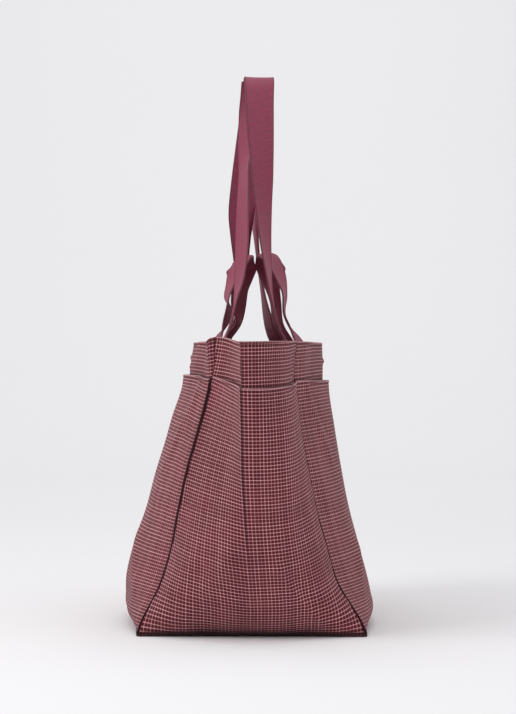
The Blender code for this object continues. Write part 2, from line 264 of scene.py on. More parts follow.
def curve_between(
    start: Array, end: Array, rate_in: Array, rate_out: Array, share: Array
) -> Array:
    """Values on a smooth curve between two values.

    Args:
        start: The value at share 0.
        end: The value at share 1.
        rate_in: The change per span at the start.
        rate_out: The change per span at the end.
        share: How far along the span each value is wanted.

    Returns:
        The values, as an array of the broadcast shape.
    """
    two, three = share**2, share**3
    return (
        start * (2 * three - 3 * two + 1)
        + rate_in * (three - 2 * two + share)
        + end * (3 * two - 2 * three)
        + rate_out * (three - two)
    )


def waves(u: Array, v: Array, length: float, seed: int, stretch: float = 1.0) -> Array:
    """Smooth seeded unevenness from about -1 to 1.

    Args:
        u: Places along the cloth's width, in metres.
        v: Places along its height, in metres.
        length: The usual distance between two hills.
        seed: Picks one pattern.
        stretch: How much longer the hills are along v.

    Returns:
        The height of the unevenness at each place.
    """
    count = 7
    random = np.random.default_rng(seed)
    total = np.zeros(np.broadcast(u, v).shape)
    for _ in range(count):
        angle = random.uniform(0, math.pi)
        span = length * random.uniform(0.65, 1.6)
        phase = random.uniform(0, math.tau)
        total += np.sin(math.tau * (u * math.cos(angle) + v / stretch * math.sin(angle)) / span + phase)
    return total / math.sqrt(count * 2)


def grid_normals(points: Array) -> Array:
    """Unit normals of a grid of points, out of the side round which its columns run counter-clockwise."""
    return unit(np.cross(np.gradient(points, axis=1), np.gradient(points, axis=0)))


def lengths_along(points: Array, axis: int) -> Array:
    """How far each point is along its row or column.

    Args:
        points: Rows of points.
        axis: 0 to measure up each column, 1 to measure along each row.

    Returns:
        The distances from the first row or column, in metres.
    """
    steps = np.linalg.norm(np.diff(points, axis=axis), axis=2)
    start = np.zeros_like(steps[:1] if axis == 0 else steps[:, :1])
    return np.concatenate([start, np.cumsum(steps, axis=axis)], axis=axis)


def true_lengths(points: Array, middle: int) -> Array:
    """Where each point lies on the flat cloth.

    Args:
        points: Rows of points from the cloth's foot to its top.
        middle: The column that stays straight on the flat cloth.

    Returns:
        The distance from the middle column and from the foot, in metres, for each point.
    """
    u = lengths_along(points, 1)
    return np.stack([u - u[:, middle : middle + 1], lengths_along(points, 0)], axis=-1)


class SectionCurves:
    """Smooth curves through the columns of the section table."""

    def __init__(self, rows: Sequence[Section]) -> None:
        """Reads the table.

        Args:
            rows: The sections, from the base to the rim.
        """
        self.heights = np.array([row.height for row in rows])
        self.columns = {name: np.array([getattr(row, name) for row in rows]) for name in Section._fields}

    def at(self, name: str, height: Array) -> Array:
        """One column's value at each height.

        Args:
            name: The column of the table.
            height: Shares of the wall's height.

        Returns:
            The values, in the height's shape.
        """
        places, values = self.heights, self.columns[name]
        rates = np.empty(len(values))
        rates[1:-1] = (values[2:] - values[:-2]) / (places[2:] - places[:-2])
        rates[0] = (values[1] - values[0]) / (places[1] - places[0])
        rates[-1] = (values[-1] - values[-2]) / (places[-1] - places[-2])
        height = np.clip(height, 0, 1)
        low = np.clip(np.searchsorted(places, height, side="right") - 1, 0, len(values) - 2)
        span = places[low + 1] - places[low]
        share = (height - places[low]) / span
        return curve_between(values[low], values[low + 1], rates[low] * span, rates[low + 1] * span, share)


@dataclass(frozen=True)
class BagForm:
    """The bag's sizes, in metres, and the smooth form that its walls follow."""

    base_depth: float
    base_length: float
    base_thickness: float
    rim_height: float
    pocket_height: float
    gusset_depth: float
    long_rise: float
    short_rise: float
    long_crest: float = 0.0010
    short_crest: float = 0.0051
    cloth: float = 0.0015
    seam_gap: float = 0.0003
    layer_gap: float = 0.0003
    welt_overhang: float = 0.0006
    rim_dip: float = 0.002
    pocket_dip: float = 0.0105
    pocket_dip_power: float = 2.2
    right_mouth_drop: float = 0.0045
    left_mouth_drop: float = 0.003
    left_drop_start: float = 0.75
    corner_lift: float = 0.0046
    corner_width: float = 0.022
    corner_reach: float = 0.007
    corner_sharpness: float = 12
    lip: float = 0.0065
    lip_turn: float = 0.004
    lip_fade: float = 0.045
    lip_start: float = 0.80
    mouth_lift: float = 0.0018
    face_pocket_stand: float = 0.006
    pocket_rise_start: float = 0.3
    swell_power: float = 2.4
    flat_power: float = 3.4
    corner_power: float = 8
    corner_share: float = 0.3
    curves: SectionCurves = field(default_factory=lambda: SectionCurves(SECTIONS))

    @classmethod
    def from_frame(cls) -> "BagForm":
        """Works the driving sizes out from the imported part.

        Returns:
            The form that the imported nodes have.
        """
        foot, rim = SECTIONS[0], SECTIONS[-1]
        base_low, base_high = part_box("base_panel")
        around = 2 * (cls.layer_gap + cls.cloth + cls.welt_overhang)
        depth = (base_high.x - base_low.x - around) * 2 / (foot.face_left + foot.face_right)
        length = (base_high.y - base_low.y - around) / foot.seam_y
        rim_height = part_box("face_panel_right")[1].z
        return cls(
            base_depth=depth,
            base_length=length,
            base_thickness=base_high.z - base_low.z,
            rim_height=rim_height,
            pocket_height=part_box("pocket_face_right")[1].z,
            gusset_depth=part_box("gusset_far")[1].y - rim.seam_y * length / 2,
            long_rise=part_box("long_strap_right")[1].z - rim_height - cls.long_crest,
            short_rise=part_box("short_handle_right")[1].z - rim_height - cls.short_crest,
        )

    @property
    def foot(self) -> float:
        """The level of the walls' lower edge."""
        return self.base_thickness + self.seam_gap

    @property
    def wall_height(self) -> float:
        """The height of the walls."""
        return self.rim_height - self.foot

    @property
    def pocket_share(self) -> float:
        """The height of the pocket's edge at a seam, as a share of the wall's."""
        return (self.pocket_height - self.foot) / self.wall_height

    def face_point(self, sign: int, along: Array, height: Array) -> Array:
        """Points on the outside of a wide face.

        Args:
            sign: 1 for the right face, -1 for the left.
            along: -1 at the near seam to 1 at the far one.
            height: Shares of the wall's height.

        Returns:
            The points, as an array with X, Y and Z last.
        """
        name = "right" if sign > 0 else "left"
        half = self.base_depth / 2
        seam = self.curves.at(f"seam_{name}", height) * half
        middle = self.curves.at(f"face_{name}", height) * half
        swell = 1 - np.abs(along) ** self.swell_power
        corner = 1 - np.abs(along) ** self.corner_power
        waist = self.corner_share * corner + (1 - self.corner_share) * np.cos(np.pi * along / 2) ** 2
        pinch = self.curves.at("pinch", height)
        out = seam + (middle - seam) * ((1 - pinch) * swell + pinch * waist)
        y = self.curves.at("seam_y", height) * self.base_length / 2 * along
        return np.stack([sign * out, y, self.foot + self.wall_height * height + 0 * out], axis=-1)

    def gusset_point(self, sign: int, across: Array, height: Array) -> Array:
        """Points on the outside of a narrow end.

        Args:
            sign: 1 for the far end, -1 for the near one.
            across: -1 at the left seam to 1 at the right one.
            height: Shares of the wall's height.

        Returns:
            The points, as an array with X, Y and Z last.
        """
        at = self.curves.at
        angle = np.abs(across) * np.pi / 2
        roll, flat = at("roll", height), np.clip(at("flat", height), 0, 1)
        sideways = (1 - roll) * np.abs(across) + roll * np.sin(angle)
        outwards = (1 - flat) * np.cos(angle) + flat * (1 - np.abs(across) ** self.flat_power)
        hollow = at("hollow", height) * (across < 0)
        sideways = sideways + hollow * (1 - np.cos(angle) - sideways)
        outwards = outwards + hollow * (1 - np.sin(angle) - outwards)
        seam = np.where(across < 0, -at("seam_left", height), at("seam_right", height))
        crease = at("crease_x", height)
        x = (crease + (seam - crease) * sideways) * self.base_depth / 2
        y = at("seam_y", height) * self.base_length / 2 + at("reach", height) * self.gusset_depth * outwards
        dip = self.rim_dip * height**2 * (1 - np.abs(across))
        return np.stack([x, sign * y, self.foot + self.wall_height * height - dip], axis=-1)

    def wall(self, side: Side, place: Array, height: Array) -> Array:
        """Points on the outside of a wall, with the lifted corner and turned lip at the rim's near left.

        Args:
            side: The wall.
            place: -1 to 1, counter-clockwise seen from above.
            height: Shares of the wall's height.

        Returns:
            The points, as an array with X, Y and Z last.
        """
        shape = self.gusset_point if side.is_gusset else self.face_point
        points = shape(side.sign, place * side.turn, height)
        seam_y = self.curves.at("seam_y", height) * self.base_length / 2
        crease = self.curves.at("crease_x", height) * self.base_depth / 2
        left_half = eased((crease - points[..., 0]) / self.corner_width)
        beside_seam = eased(1 - (points[..., 1] + seam_y) / self.corner_reach)
        points[..., 2] += self.corner_lift * height**self.corner_sharpness * left_half * beside_seam
        if side is Side.LEFT:
            behind = points[..., 1] + seam_y
            turned = eased(behind / self.lip_turn) * (1 - eased((behind - self.lip_turn) / self.lip_fade))
            points[..., 0] -= self.lip * eased((height - self.lip_start) / (1 - self.lip_start)) * turned
        return points

    def pocket_top(self, side: Side, place: Array) -> Array:
        """The height at which the pocket layer ends.

        Args:
            side: The wall.
            place: Places across the wall, as its own shape counts them.

        Returns:
            Shares of the wall's height.
        """
        if side.is_gusset:
            slack = np.where(place < 0, 1 - np.abs(place), 1 - np.abs(place) ** self.pocket_dip_power)
            lower = self.pocket_dip * slack + self.right_mouth_drop * np.maximum(place, 0)
        elif side is Side.RIGHT:
            lower = self.right_mouth_drop + 0 * place
        else:
            fall = eased((-place - self.left_drop_start) / (1 - self.left_drop_start))
            lower = self.left_mouth_drop * fall - self.mouth_lift * (1 - place**2)
        return self.pocket_share - lower / self.wall_height


class Fold(NamedTuple):
    """A soft ridge, or with a negative height a dent, that runs straight over a wall.

    The places are across the wall, as its own shape counts them, and the heights are shares of the wall's.
    """

    side: Side
    place_start: float
    height_start: float
    place_end: float
    height_end: float
    width: float
    rise: float


FOLDS = (
    Fold(Side.NEAR, 0.28, 0.26, 0.50, 0.12, 0.012, 0.0030),
    Fold(Side.NEAR, 0.50, 0.13, 0.66, 0.04, 0.010, 0.0022),
    Fold(Side.NEAR, 0.42, 0.23, 0.62, 0.12, 0.012, -0.0022),
    Fold(Side.NEAR, -0.10, 0.34, -0.50, 0.12, 0.016, 0.0022),
    Fold(Side.NEAR, -0.34, 0.33, -0.66, 0.15, 0.016, -0.0016),
    Fold(Side.NEAR, 0.76, 0.872, 0.98, 0.908, 0.0030, 0.0016),
    Fold(Side.NEAR, 0.80, 0.850, 0.98, 0.880, 0.0030, -0.0014),
    Fold(Side.NEAR, 0.82, 0.905, 0.99, 0.938, 0.0030, 0.0012),
    Fold(Side.FAR, 0.20, 0.30, 0.55, 0.08, 0.014, 0.0026),
    Fold(Side.FAR, -0.24, 0.30, -0.58, 0.08, 0.014, 0.0024),
    Fold(Side.RIGHT, -0.25, 0.935, 0.25, 0.930, 0.0035, 0.0022),
    Fold(Side.LEFT, -0.30, 0.948, 0.25, 0.945, 0.0040, 0.0018),
    Fold(Side.LEFT, -0.20, 0.915, 0.30, 0.910, 0.0040, 0.0012),
    Fold(Side.RIGHT, -0.88, 0.90, -0.55, 0.55, 0.012, 0.0022),
    Fold(Side.RIGHT, -0.80, 0.86, -0.42, 0.62, 0.012, -0.0018),
    Fold(Side.RIGHT, 0.70, 0.90, 0.40, 0.45, 0.016, 0.0024),
    Fold(Side.RIGHT, 0.25, 0.35, 0.72, 0.10, 0.018, 0.0026),
    Fold(Side.RIGHT, -0.30, 0.30, -0.74, 0.09, 0.018, 0.0026),
    Fold(Side.LEFT, -0.86, 0.88, -0.50, 0.50, 0.014, 0.0024),
    Fold(Side.LEFT, 0.72, 0.90, 0.46, 0.50, 0.016, -0.0022),
    Fold(Side.LEFT, 0.28, 0.36, 0.74, 0.10, 0.018, 0.0026),
    Fold(Side.LEFT, -0.26, 0.34, -0.72, 0.09, 0.018, 0.0026),
)


@dataclass(frozen=True)
class Relief:
    """How the sewn cloth stands off its smooth form, and the shade painted into its seams, hems, crease and
    foot.
    """

    seam_round: float = 0.0020
    seam_depth: float = 0.0013
    pucker_rise: float = 0.00055
    pucker_length: float = 0.011
    pucker_reach: float = 0.013
    pucker_start: float = 0.0025
    foot_pucker_start: float = 0.003
    pucker_squeeze: float = 0.25
    dent_rise: float = 0.0011
    dent_length: float = 0.075
    dent_stretch: float = 1.5
    quiet_seam: float = 0.012
    quiet_foot: float = 0.010
    fold_wall: float = 0.34
    fold_fade: float = 0.35
    fold_end: float = 0.3
    crease_depth: float = 0.0011
    crease_width: float = 0.0016
    crease_start: float = 0.32
    crease_fade: float = 0.2
    # The next nine fields set painted shade: a dark line along the crease, a band above the foot that arches
    # up mid-gusset, and the seams' reach.
    crease_shade: float = 0.80
    crease_line: float = 0.0012
    crease_line_start: float = 0.10
    crease_line_fade: float = 0.05
    foot_arch: float = 0.0120
    wide_seam: float = 0.9
    knee: float = 0.050
    knee_fade: float = 0.015
    full_shade: float = 0.99
    # fold_soft softens the painted highlight along each folded edge.
    fold_soft: float = 1.3
    seam_soft: float = 1.1
    foot_soft: float = 1.2
    hem_width: float = 0.0032
    hem_rise: float = 0.0004
    groove_depth: float = 0.0004
    groove_width: float = 0.0009
    groove_shade: float = 0.3
    # Width of the painted highlight along each folded edge.
    fold_width: float = 0.0013
    foot_shade: float = 0.0020
    draw_left: float = 1.15
    draw_right: float = 2.4
    face_draw: float = 0.0045
    face_draw_rise: float = 0.25

    def seam_fall(self, edge: Array) -> Array:
        """How deep the cloth rolls into a seam, at each distance from it."""
        share = np.clip(1 - edge / self.seam_round, 0, 1)
        return self.seam_depth * (1 - np.sqrt(1 - share**2))

    def height(self, side: Side, place: Array, height: Array, flat: Array) -> Array:
        """How far the cloth stands off its smooth form.

        Args:
            side: The wall.
            place: Places across the wall, as its own shape counts them.
            height: Shares of the wall's height.
            flat: The points' places on the flat cloth.

        Returns:
            The distance outwards at each point.
        """
        u, v = flat[..., 0], flat[..., 1]
        edge = seam_distance(u)
        seed = 10 * (1 + list(Side).index(side))
        free = eased(edge / self.quiet_seam) * eased(v / self.quiet_foot)
        total = self.dent_rise * waves(u, v, self.dent_length, seed, self.dent_stretch) * free
        near_seam = np.exp(-edge / self.pucker_reach) * (1 - np.exp(-edge / self.pucker_start))
        near_base = np.exp(-v / self.pucker_reach) * (1 - np.exp(-v / self.foot_pucker_start))
        squeeze = self.pucker_squeeze
        total += self.pucker_rise * near_seam * waves(u * squeeze, v, self.pucker_length, seed + 1)
        total += self.pucker_rise * near_base * waves(u, v * squeeze, self.pucker_length, seed + 2)
        for fold in FOLDS:
            if fold.side is side:
                total += self.fold_height(fold, place, height, u) * free
        if side.is_gusset:
            rising = eased((height - self.crease_start) / self.crease_fade)
            total -= self.crease_depth * bump(u, self.crease_width) * rising
        return total - self.seam_fall(edge)

    def fold_height(self, fold: Fold, place: Array, height: Array, u: Array) -> Array:
        """The height of one fold at each point.

        Args:
            fold: The fold.
            place: Places across the wall.
            height: Shares of the wall's height.
            u: Distances along the cloth from its middle.

        Returns:
            The distance outwards at each point.
        """
        half = np.maximum(np.abs(u[:, :1]), np.abs(u[:, -1:]))
        x, y = place * half, height * self.fold_wall
        start = np.stack([fold.place_start * half, fold.height_start * self.fold_wall + 0 * half])
        end = np.stack([fold.place_end * half, fold.height_end * self.fold_wall + 0 * half])
        run = end - start
        length = np.sqrt((run**2).sum(axis=0))
        share = ((x - start[0]) * run[0] + (y - start[1]) * run[1]) / length**2
        aside = np.abs((x - start[0]) * run[1] - (y - start[1]) * run[0]) / length
        begun = eased(share / self.fold_fade + self.fold_end)
        ends = begun * eased((1 - share) / self.fold_fade + self.fold_end)
        return fold.rise * bump(aside, fold.width) * ends

    def hem(self, below: Array) -> Array:
        """How a folded edge stands out, at each distance below it: a round fold over a sewn groove."""
        fold = np.sqrt(np.clip(1 - (2 * below / self.hem_width - 1) ** 2, 0, 1))
        return self.hem_rise * fold - self.groove_depth * self.hem_groove(below)

    def hem_groove(self, below: Array) -> Array:
        """How much of the hem's sewn groove there is at each distance below the edge, from 0 to 1."""
        return bump(below - self.hem_width - self.groove_width / 2, self.groove_width)

    def painted_fold_highlight(self, below: Array) -> Array:
        """How much painted highlight the folded edge gets at each distance below it, from 0 to 1."""
        return eased(self.fold_soft - below / self.fold_width)

    def shade(
        self, side: Side, own: Array, flat: Array, below: Array, seam_shade: Array | float
    ) -> Array:
        """The shade painted into the cloth's colour in its grooves, seams and crease, and above its foot.

        Args:
            side: The wall.
            own: Each column's place across the wall, as its own shape counts them.
            flat: Each point's place on the flat cloth.
            below: Each point's distance below the edge.
            seam_shade: How much painted shade the seams get at each point, from 0 to 1.

        Returns:
            The shade at each point, from 0 to 1.
        """
        u, v = flat[..., 0], flat[..., 1]
        wide_corner = (own < 0) * (side in (Side.NEAR, Side.LEFT))
        above_knee = eased((v - self.knee) / self.knee_fade) * (seam_shade > self.full_shade)
        reach = self.seam_round * (1 + self.wide_seam * wide_corner[None] * above_knee)
        seam = eased(self.seam_soft - seam_distance(u) / reach) * seam_shade
        foot_width = self.foot_shade + self.foot_arch * (1 - own**2) * side.is_gusset
        foot = eased(self.foot_soft - v / foot_width[None])
        risen = eased((v - self.crease_line_start) / self.crease_line_fade)
        crease = self.crease_shade * bump(u, self.crease_line) * risen * side.is_gusset
        # Each term is painted shade: the hem groove, the seams, a band above the foot and a line along the
        # crease.
        return np.maximum.reduce([self.groove_shade * self.hem_groove(below), seam, foot, crease])


def deselect_all() -> None:
    """Leaves nothing selected, in object mode."""
    if bpy.context.mode != "OBJECT":
        bpy.ops.object.mode_set(mode="OBJECT")
    bpy.ops.object.select_all(action="DESELECT")


def select_only(obj: Piece) -> None:
    """Makes a piece the active one and the only one selected.

    Args:
        obj: The piece.
    """
    deselect_all()
    obj.select_set(True)
    bpy.context.view_layer.objects.active = obj


def placed(name: str, data: bpy.types.ID) -> Piece:
    """Puts new data into the scene as an object.

    Args:
        name: The object's name.
        data: The mesh, light or camera.

    Returns:
        The object.
    """
    obj = bpy.data.objects.new(name, data)
    bpy.context.scene.collection.objects.link(obj)
    return obj


def vertex_places(mesh: bpy.types.Mesh) -> Array:
    """Where a mesh's vertices are.

    Args:
        mesh: The mesh.

    Returns:
        Rows of X, Y and Z.
    """
    places = np.empty(len(mesh.vertices) * 3)
    mesh.vertices.foreach_get("co", places)
    return places.reshape(-1, 3)


def shaped_grid(name: str, points: Array, flat: Array) -> Piece:
    """Adds a grid and moves its corners on to rows of points.

    Args:
        name: The piece's name.
        points: Rows of points, whose columns run counter-clockwise seen from outside the cloth.
        flat: Each point's place on the flat cloth, which becomes the UV map.

    Returns:
        The grid, facing out.
    """
    deselect_all()
    rows, columns = points.shape[:2]
    bpy.ops.mesh.primitive_grid_add(x_subdivisions=columns - 1, y_subdivisions=rows - 1, size=1)
    obj = bpy.context.object
    obj.name = obj.data.name = name
    mesh = obj.data
    places = vertex_places(mesh).round(6)
    order = np.lexsort((places[:, 0], places[:, 1]))
    moved, spread = np.empty((len(order), 3)), np.empty((len(order), 2))
    moved[order], spread[order] = points.reshape(-1, 3), flat.reshape(-1, 2)
    mesh.vertices.foreach_set("co", moved.ravel())
    corners = np.empty(len(mesh.loops), dtype=np.int32)
    mesh.loops.foreach_get("vertex_index", corners)
    layer = mesh.uv_layers.active or mesh.uv_layers.new(name="UVMap")
    layer.data.foreach_set("uv", spread[corners].ravel())
    mesh.update()
    return obj


def point_attribute(obj: Piece, name: str, values: Array, like: Array) -> None:
    """Gives each vertex a number that its material reads.

    Args:
        obj: A shaped grid.
        name: The attribute's name.
        values: The numbers, in the grid's rows.
        like: The grid's points, which say which vertex each number belongs to.
    """
    rows = np.float32(like.reshape(-1, 3)).round(7).tolist()
    numbers = {tuple(point): number for number, point in enumerate(rows)}
    index = [numbers[tuple(point)] for point in np.float32(vertex_places(obj.data)).round(7).tolist()]
    attribute = obj.data.attributes.new(name, "FLOAT", "POINT")
    attribute.data.foreach_set("value", np.float32(values.reshape(-1)[index]))


def applied(obj: Piece, kind: str, **settings: object) -> None:
    """Adds a modifier and applies it.

    Args:
        obj: The piece.
        kind: The modifier's type.
        settings: The modifier's settings.
    """
    select_only(obj)
    modifier = obj.modifiers.new(kind.title(), kind)
    for key, value in settings.items():
        setattr(modifier, key, value)
    bpy.ops.object.modifier_apply(modifier=modifier.name)


def round_edges(obj: Piece, width: float, segments: int, degrees: float = 60) -> None:
    """Rounds a piece's edges that turn by more than an angle."""
    angle = math.radians(degrees)
    applied(obj, "BEVEL", width=width, segments=segments, limit_method="ANGLE", angle_limit=angle)


def smooth(obj: Piece, degrees: float = 50) -> None:
    """Shades a piece smooth up to its sharp edges."""
    select_only(obj)
    bpy.ops.object.shade_smooth_by_angle(angle=math.radians(degrees))


def fitted(obj: Piece, material: Material, slot: str, *nodes: str) -> Piece:
    """Dresses a finished piece and fixes it to the part.

    Args:
        obj: The piece.
        material: Its finish.
        slot: The name of the material slot that the finish belongs to; not used.
        nodes: The nodes that the piece stands for.

    Returns:
        The piece.
    """
    obj.data.materials.clear()
    obj.data.materials.append(material)
    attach(obj, BODY)
    if nodes:
        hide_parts(*nodes)
    LOG.info("%s: %d faces", obj.name, len(obj.data.polygons))
    return obj


class Nodes:
    """A short hand for building a material's node tree."""

    def __init__(self, name: str, roughness: float) -> None:
        """Starts a material.

        Args:
            name: The material's name.
            roughness: The shader's own roughness, where nothing is linked to it.
        """
        self.material = bpy.data.materials.new(name)
        self.material.use_nodes = True
        self.tree = self.material.node_tree
        self.shader = self.tree.nodes["Principled BSDF"]
        self.set("Roughness", roughness)

    def link(self, value: object, socket: Socket) -> None:
        """Joins an output to a socket, or sets the socket to a number or a colour.

        Args:
            value: The output, number or colour.
            socket: The input that takes it.
        """
        if isinstance(value, Socket):
            self.tree.links.new(value, socket)
        elif isinstance(value, tuple) and len(value) == 3 and socket.type == "RGBA":
            socket.default_value = (*value, 1)
        else:
            socket.default_value = value

    def node(self, kind: str, *values: object, **settings: object) -> bpy.types.Node:
        """Adds a node.

        Args:
            kind: The node's type, without its first word.
            values: What its first inputs take, in order.
            settings: The node's settings.

        Returns:
            The node.
        """
        node = self.tree.nodes.new(f"ShaderNode{kind}")
        for key, value in settings.items():
            setattr(node, key, value)
        for socket, value in zip(node.inputs, values):
            self.link(value, socket)
        return node

    def math(self, operation: str, *values: object) -> Socket:
        """The output of a Math node with these inputs."""
        return self.node("Math", *values, operation=operation).outputs[0]

    def times(self, first: object, second: object) -> Socket:
        """The product of two values."""
        return self.math("MULTIPLY", first, second)

    def plus(self, first: object, second: object) -> Socket:
        """The sum of two values."""
        return self.math("ADD", first, second)

    def ramp(self, value: object, low: float, high: float, to_low: float = 0, to_high: float = 1) -> Socket:
        """A value from one range brought smoothly to another."""
        ranges = (low, high, to_low, to_high)
        return self.node("MapRange", value, *ranges, interpolation_type="SMOOTHSTEP").outputs[0]

    def mix(self, share: object, first: object, second: object, blend: str = "MIX") -> Socket:
        """Two colours mixed.

        Args:
            share: How much of the second colour there is.
            first: The first colour.
            second: The second colour.
            blend: The way in which they are mixed.

        Returns:
            The mixed colour.
        """
        node = self.node("Mix", data_type="RGBA", blend_type=blend)
        sockets = {socket.identifier: socket for socket in (*node.inputs, *node.outputs)}
        for name, value in (("Factor_Float", share), ("A_Color", first), ("B_Color", second)):
            self.link(value, sockets[name])
        return sockets["Result_Color"]

    def attribute(self, name: str) -> Socket:
        """A point attribute's number."""
        return self.node("Attribute", attribute_name=name).outputs["Fac"]

    def uv(self) -> tuple[Socket, Socket]:
        """The two numbers of the piece's UV map, in metres of cloth."""
        split = self.node("SeparateXYZ", self.node("UVMap", uv_map="UVMap").outputs["UV"])
        return split.outputs[0], split.outputs[1]

    def vector(self, *values: object) -> Socket:
        """Three numbers as one vector."""
        return self.node("CombineXYZ", *values).outputs[0]

    def place(self) -> Socket:
        """The place on the object, in metres."""
        return self.node("TexCoord").outputs["Object"]

    def noise(self, vector: Socket, scale: float, detail: float = 2) -> Socket:
        """Smooth noise from 0 to 1.

        Args:
            vector: The place.
            scale: How many hills there are in a metre.
            detail: How many finer sizes are added.

        Returns:
            The noise at the place.
        """
        node = self.node("TexNoise", vector)
        self.link(scale, node.inputs["Scale"])
        self.link(detail, node.inputs["Detail"])
        return node.outputs[0]

    def white(self, value: Socket) -> Socket:
        """A random number for each whole number.

        Args:
            value: The whole number.

        Returns:
            A number from 0 to 1.
        """
        node = self.node("TexWhiteNoise", noise_dimensions="1D")
        self.link(value, node.inputs["W"])
        return node.outputs["Value"]

    def toned(self, colour: object, tone: Socket) -> Socket:
        """A colour made lighter or darker by a number."""
        return self.mix(1.0, colour, self.vector(tone, tone, tone), "MULTIPLY")

    def set(self, name: str, value: object) -> None:
        """Sets or links one of the shader's inputs."""
        self.link(value, self.shader.inputs[name])

    def bumped(self, height: Socket, distance: float, strength: float) -> None:
        """Gives the shader a fine bump.

        Args:
            height: The height, from 0 to about 1.
            distance: What a height of 1 stands for, in metres.
            strength: How much of the bump shows.
        """
        node = self.node("Bump")
        for name, value in (("Strength", strength), ("Distance", distance), ("Height", height)):
            self.link(value, node.inputs[name])
        self.set("Normal", node.outputs[0])

    def sheen(self, weight: float, roughness: float, tint: Colour) -> None:
        """Sets the shader's own sheen.

        Args:
            weight: How strong it is.
            roughness: How wide it spreads.
            tint: Its colour.
        """
        for name, value in (("Weight", weight), ("Roughness", roughness), ("Tint", tint)):
            self.set(f"Sheen {name}", value)


@dataclass(frozen=True)
class CheckCloth:
    """Yarn-dyed cloth: a dark ground with a pale thread group every few millimetres both ways."""

    name: str
    ground: Colour = (0.080, 0.0078, 0.0130)
    single: Colour = (0.50, 0.200, 0.215)
    crossed: Colour = (0.80, 0.490, 0.510)
    # A painted highlight along the folded edges.
    fold_highlight_tone: Colour = (0.60, 0.330, 0.350)
    # Painted shade for seams, hem grooves, crease, foot and the pocket mouths.
    painted_shade_tone: Colour = (0.022, 0.0030, 0.0055)
    warm_tone: Colour = (0.34, 0.055, 0.080)
    pitch: float = 0.00415
    line: float = 0.24
    yarn: float = 0.00052
    shift: float = 0.0

    def thread_group(self, nodes: Nodes, along: object, across: object, faintest: float) -> Socket:
        """How much pale thread there is at a place, from the threads that run one way.

        Args:
            nodes: The material's nodes.
            along: The place along the threads.
            across: The place across them.
            faintest: How much shows of the faintest group.

        Returns:
            A number from 0 to about 1.
        """
        wander = nodes.noise(nodes.vector(nodes.times(along, 0.3), across, self.shift), 90)
        count = nodes.plus(nodes.math("DIVIDE", across, self.pitch), nodes.times(wander, 0.10))
        share = nodes.math("PINGPONG", nodes.plus(count, self.shift), 0.5)
        line = nodes.ramp(share, 0.5 * self.line - 0.08, 0.5 * self.line + 0.08, 1, 0)
        which = nodes.math("ROUND", nodes.plus(count, self.shift))
        even = nodes.ramp(nodes.white(which), 0, 1, faintest, 1.08)
        stretch = nodes.noise(nodes.vector(along, nodes.times(which, 0.37), self.shift), 16, 1)
        even = nodes.times(even, nodes.ramp(stretch, 0.35, 0.65, 0.88, 1.08))
        return nodes.times(line, even)

    def build(self) -> Material:
        """Builds the material.

        Returns:
            The cloth, whose pattern follows the UV map.
        """
        nodes = Nodes(self.name, 0.85)
        u, v = nodes.uv()
        warp = self.thread_group(nodes, v, u, 0.62)
        weft = self.thread_group(nodes, u, v, 0.80)
        total = nodes.plus(nodes.times(warp, 0.72), weft)
        colour = nodes.mix(nodes.ramp(total, 0.0, 1.0), self.ground, self.single)
        colour = nodes.mix(nodes.ramp(total, 0.9, 1.9), colour, self.crossed)
        slub = nodes.noise(nodes.vector(nodes.times(u, 0.15), v, 0.0), 900, 1)
        slub_up = nodes.noise(nodes.vector(u, nodes.times(v, 0.15), 3.0), 900, 1)
        uneven = nodes.ramp(nodes.plus(slub, slub_up), 0.6, 1.4, 0.84, 1.14)
        patches = nodes.ramp(nodes.noise(nodes.place(), 14, 3), 0.35, 0.65, 0.94, 1.05)
        tone = nodes.times(uneven, patches)
        colour = nodes.toned(colour, tone)
        warm = nodes.ramp(nodes.noise(nodes.place(), 22, 1), 0.5, 0.75, 0, 0.10)
        colour = nodes.mix(warm, colour, self.warm_tone)
        # Paints a highlight along the folded edges.
        colour = nodes.mix(nodes.times(nodes.attribute("fold"), 0.55), colour, self.fold_highlight_tone)
        # Paints shade into seams, hem grooves, crease, foot and under the pocket mouths.
        colour = nodes.mix(nodes.attribute("painted_shade"), colour, self.painted_shade_tone)
        nodes.set("Base Color", colour)
        over = nodes.math("SINE", nodes.times(u, math.tau / self.yarn))
        under = nodes.math("SINE", nodes.times(v, math.tau / self.yarn))
        weave = nodes.plus(nodes.times(over, under), nodes.times(total, 0.8))
        nodes.bumped(weave, 0.00006, 0.6)
        rough = nodes.ramp(nodes.noise(nodes.place(), 260, 2), 0.3, 0.7, 0.78, 0.92)
        nodes.set("Roughness", rough)
        nodes.set("Specular IOR Level", 0.25)
        nodes.sheen(0.10, 0.5, (0.9, 0.7, 0.72))
        return nodes.material


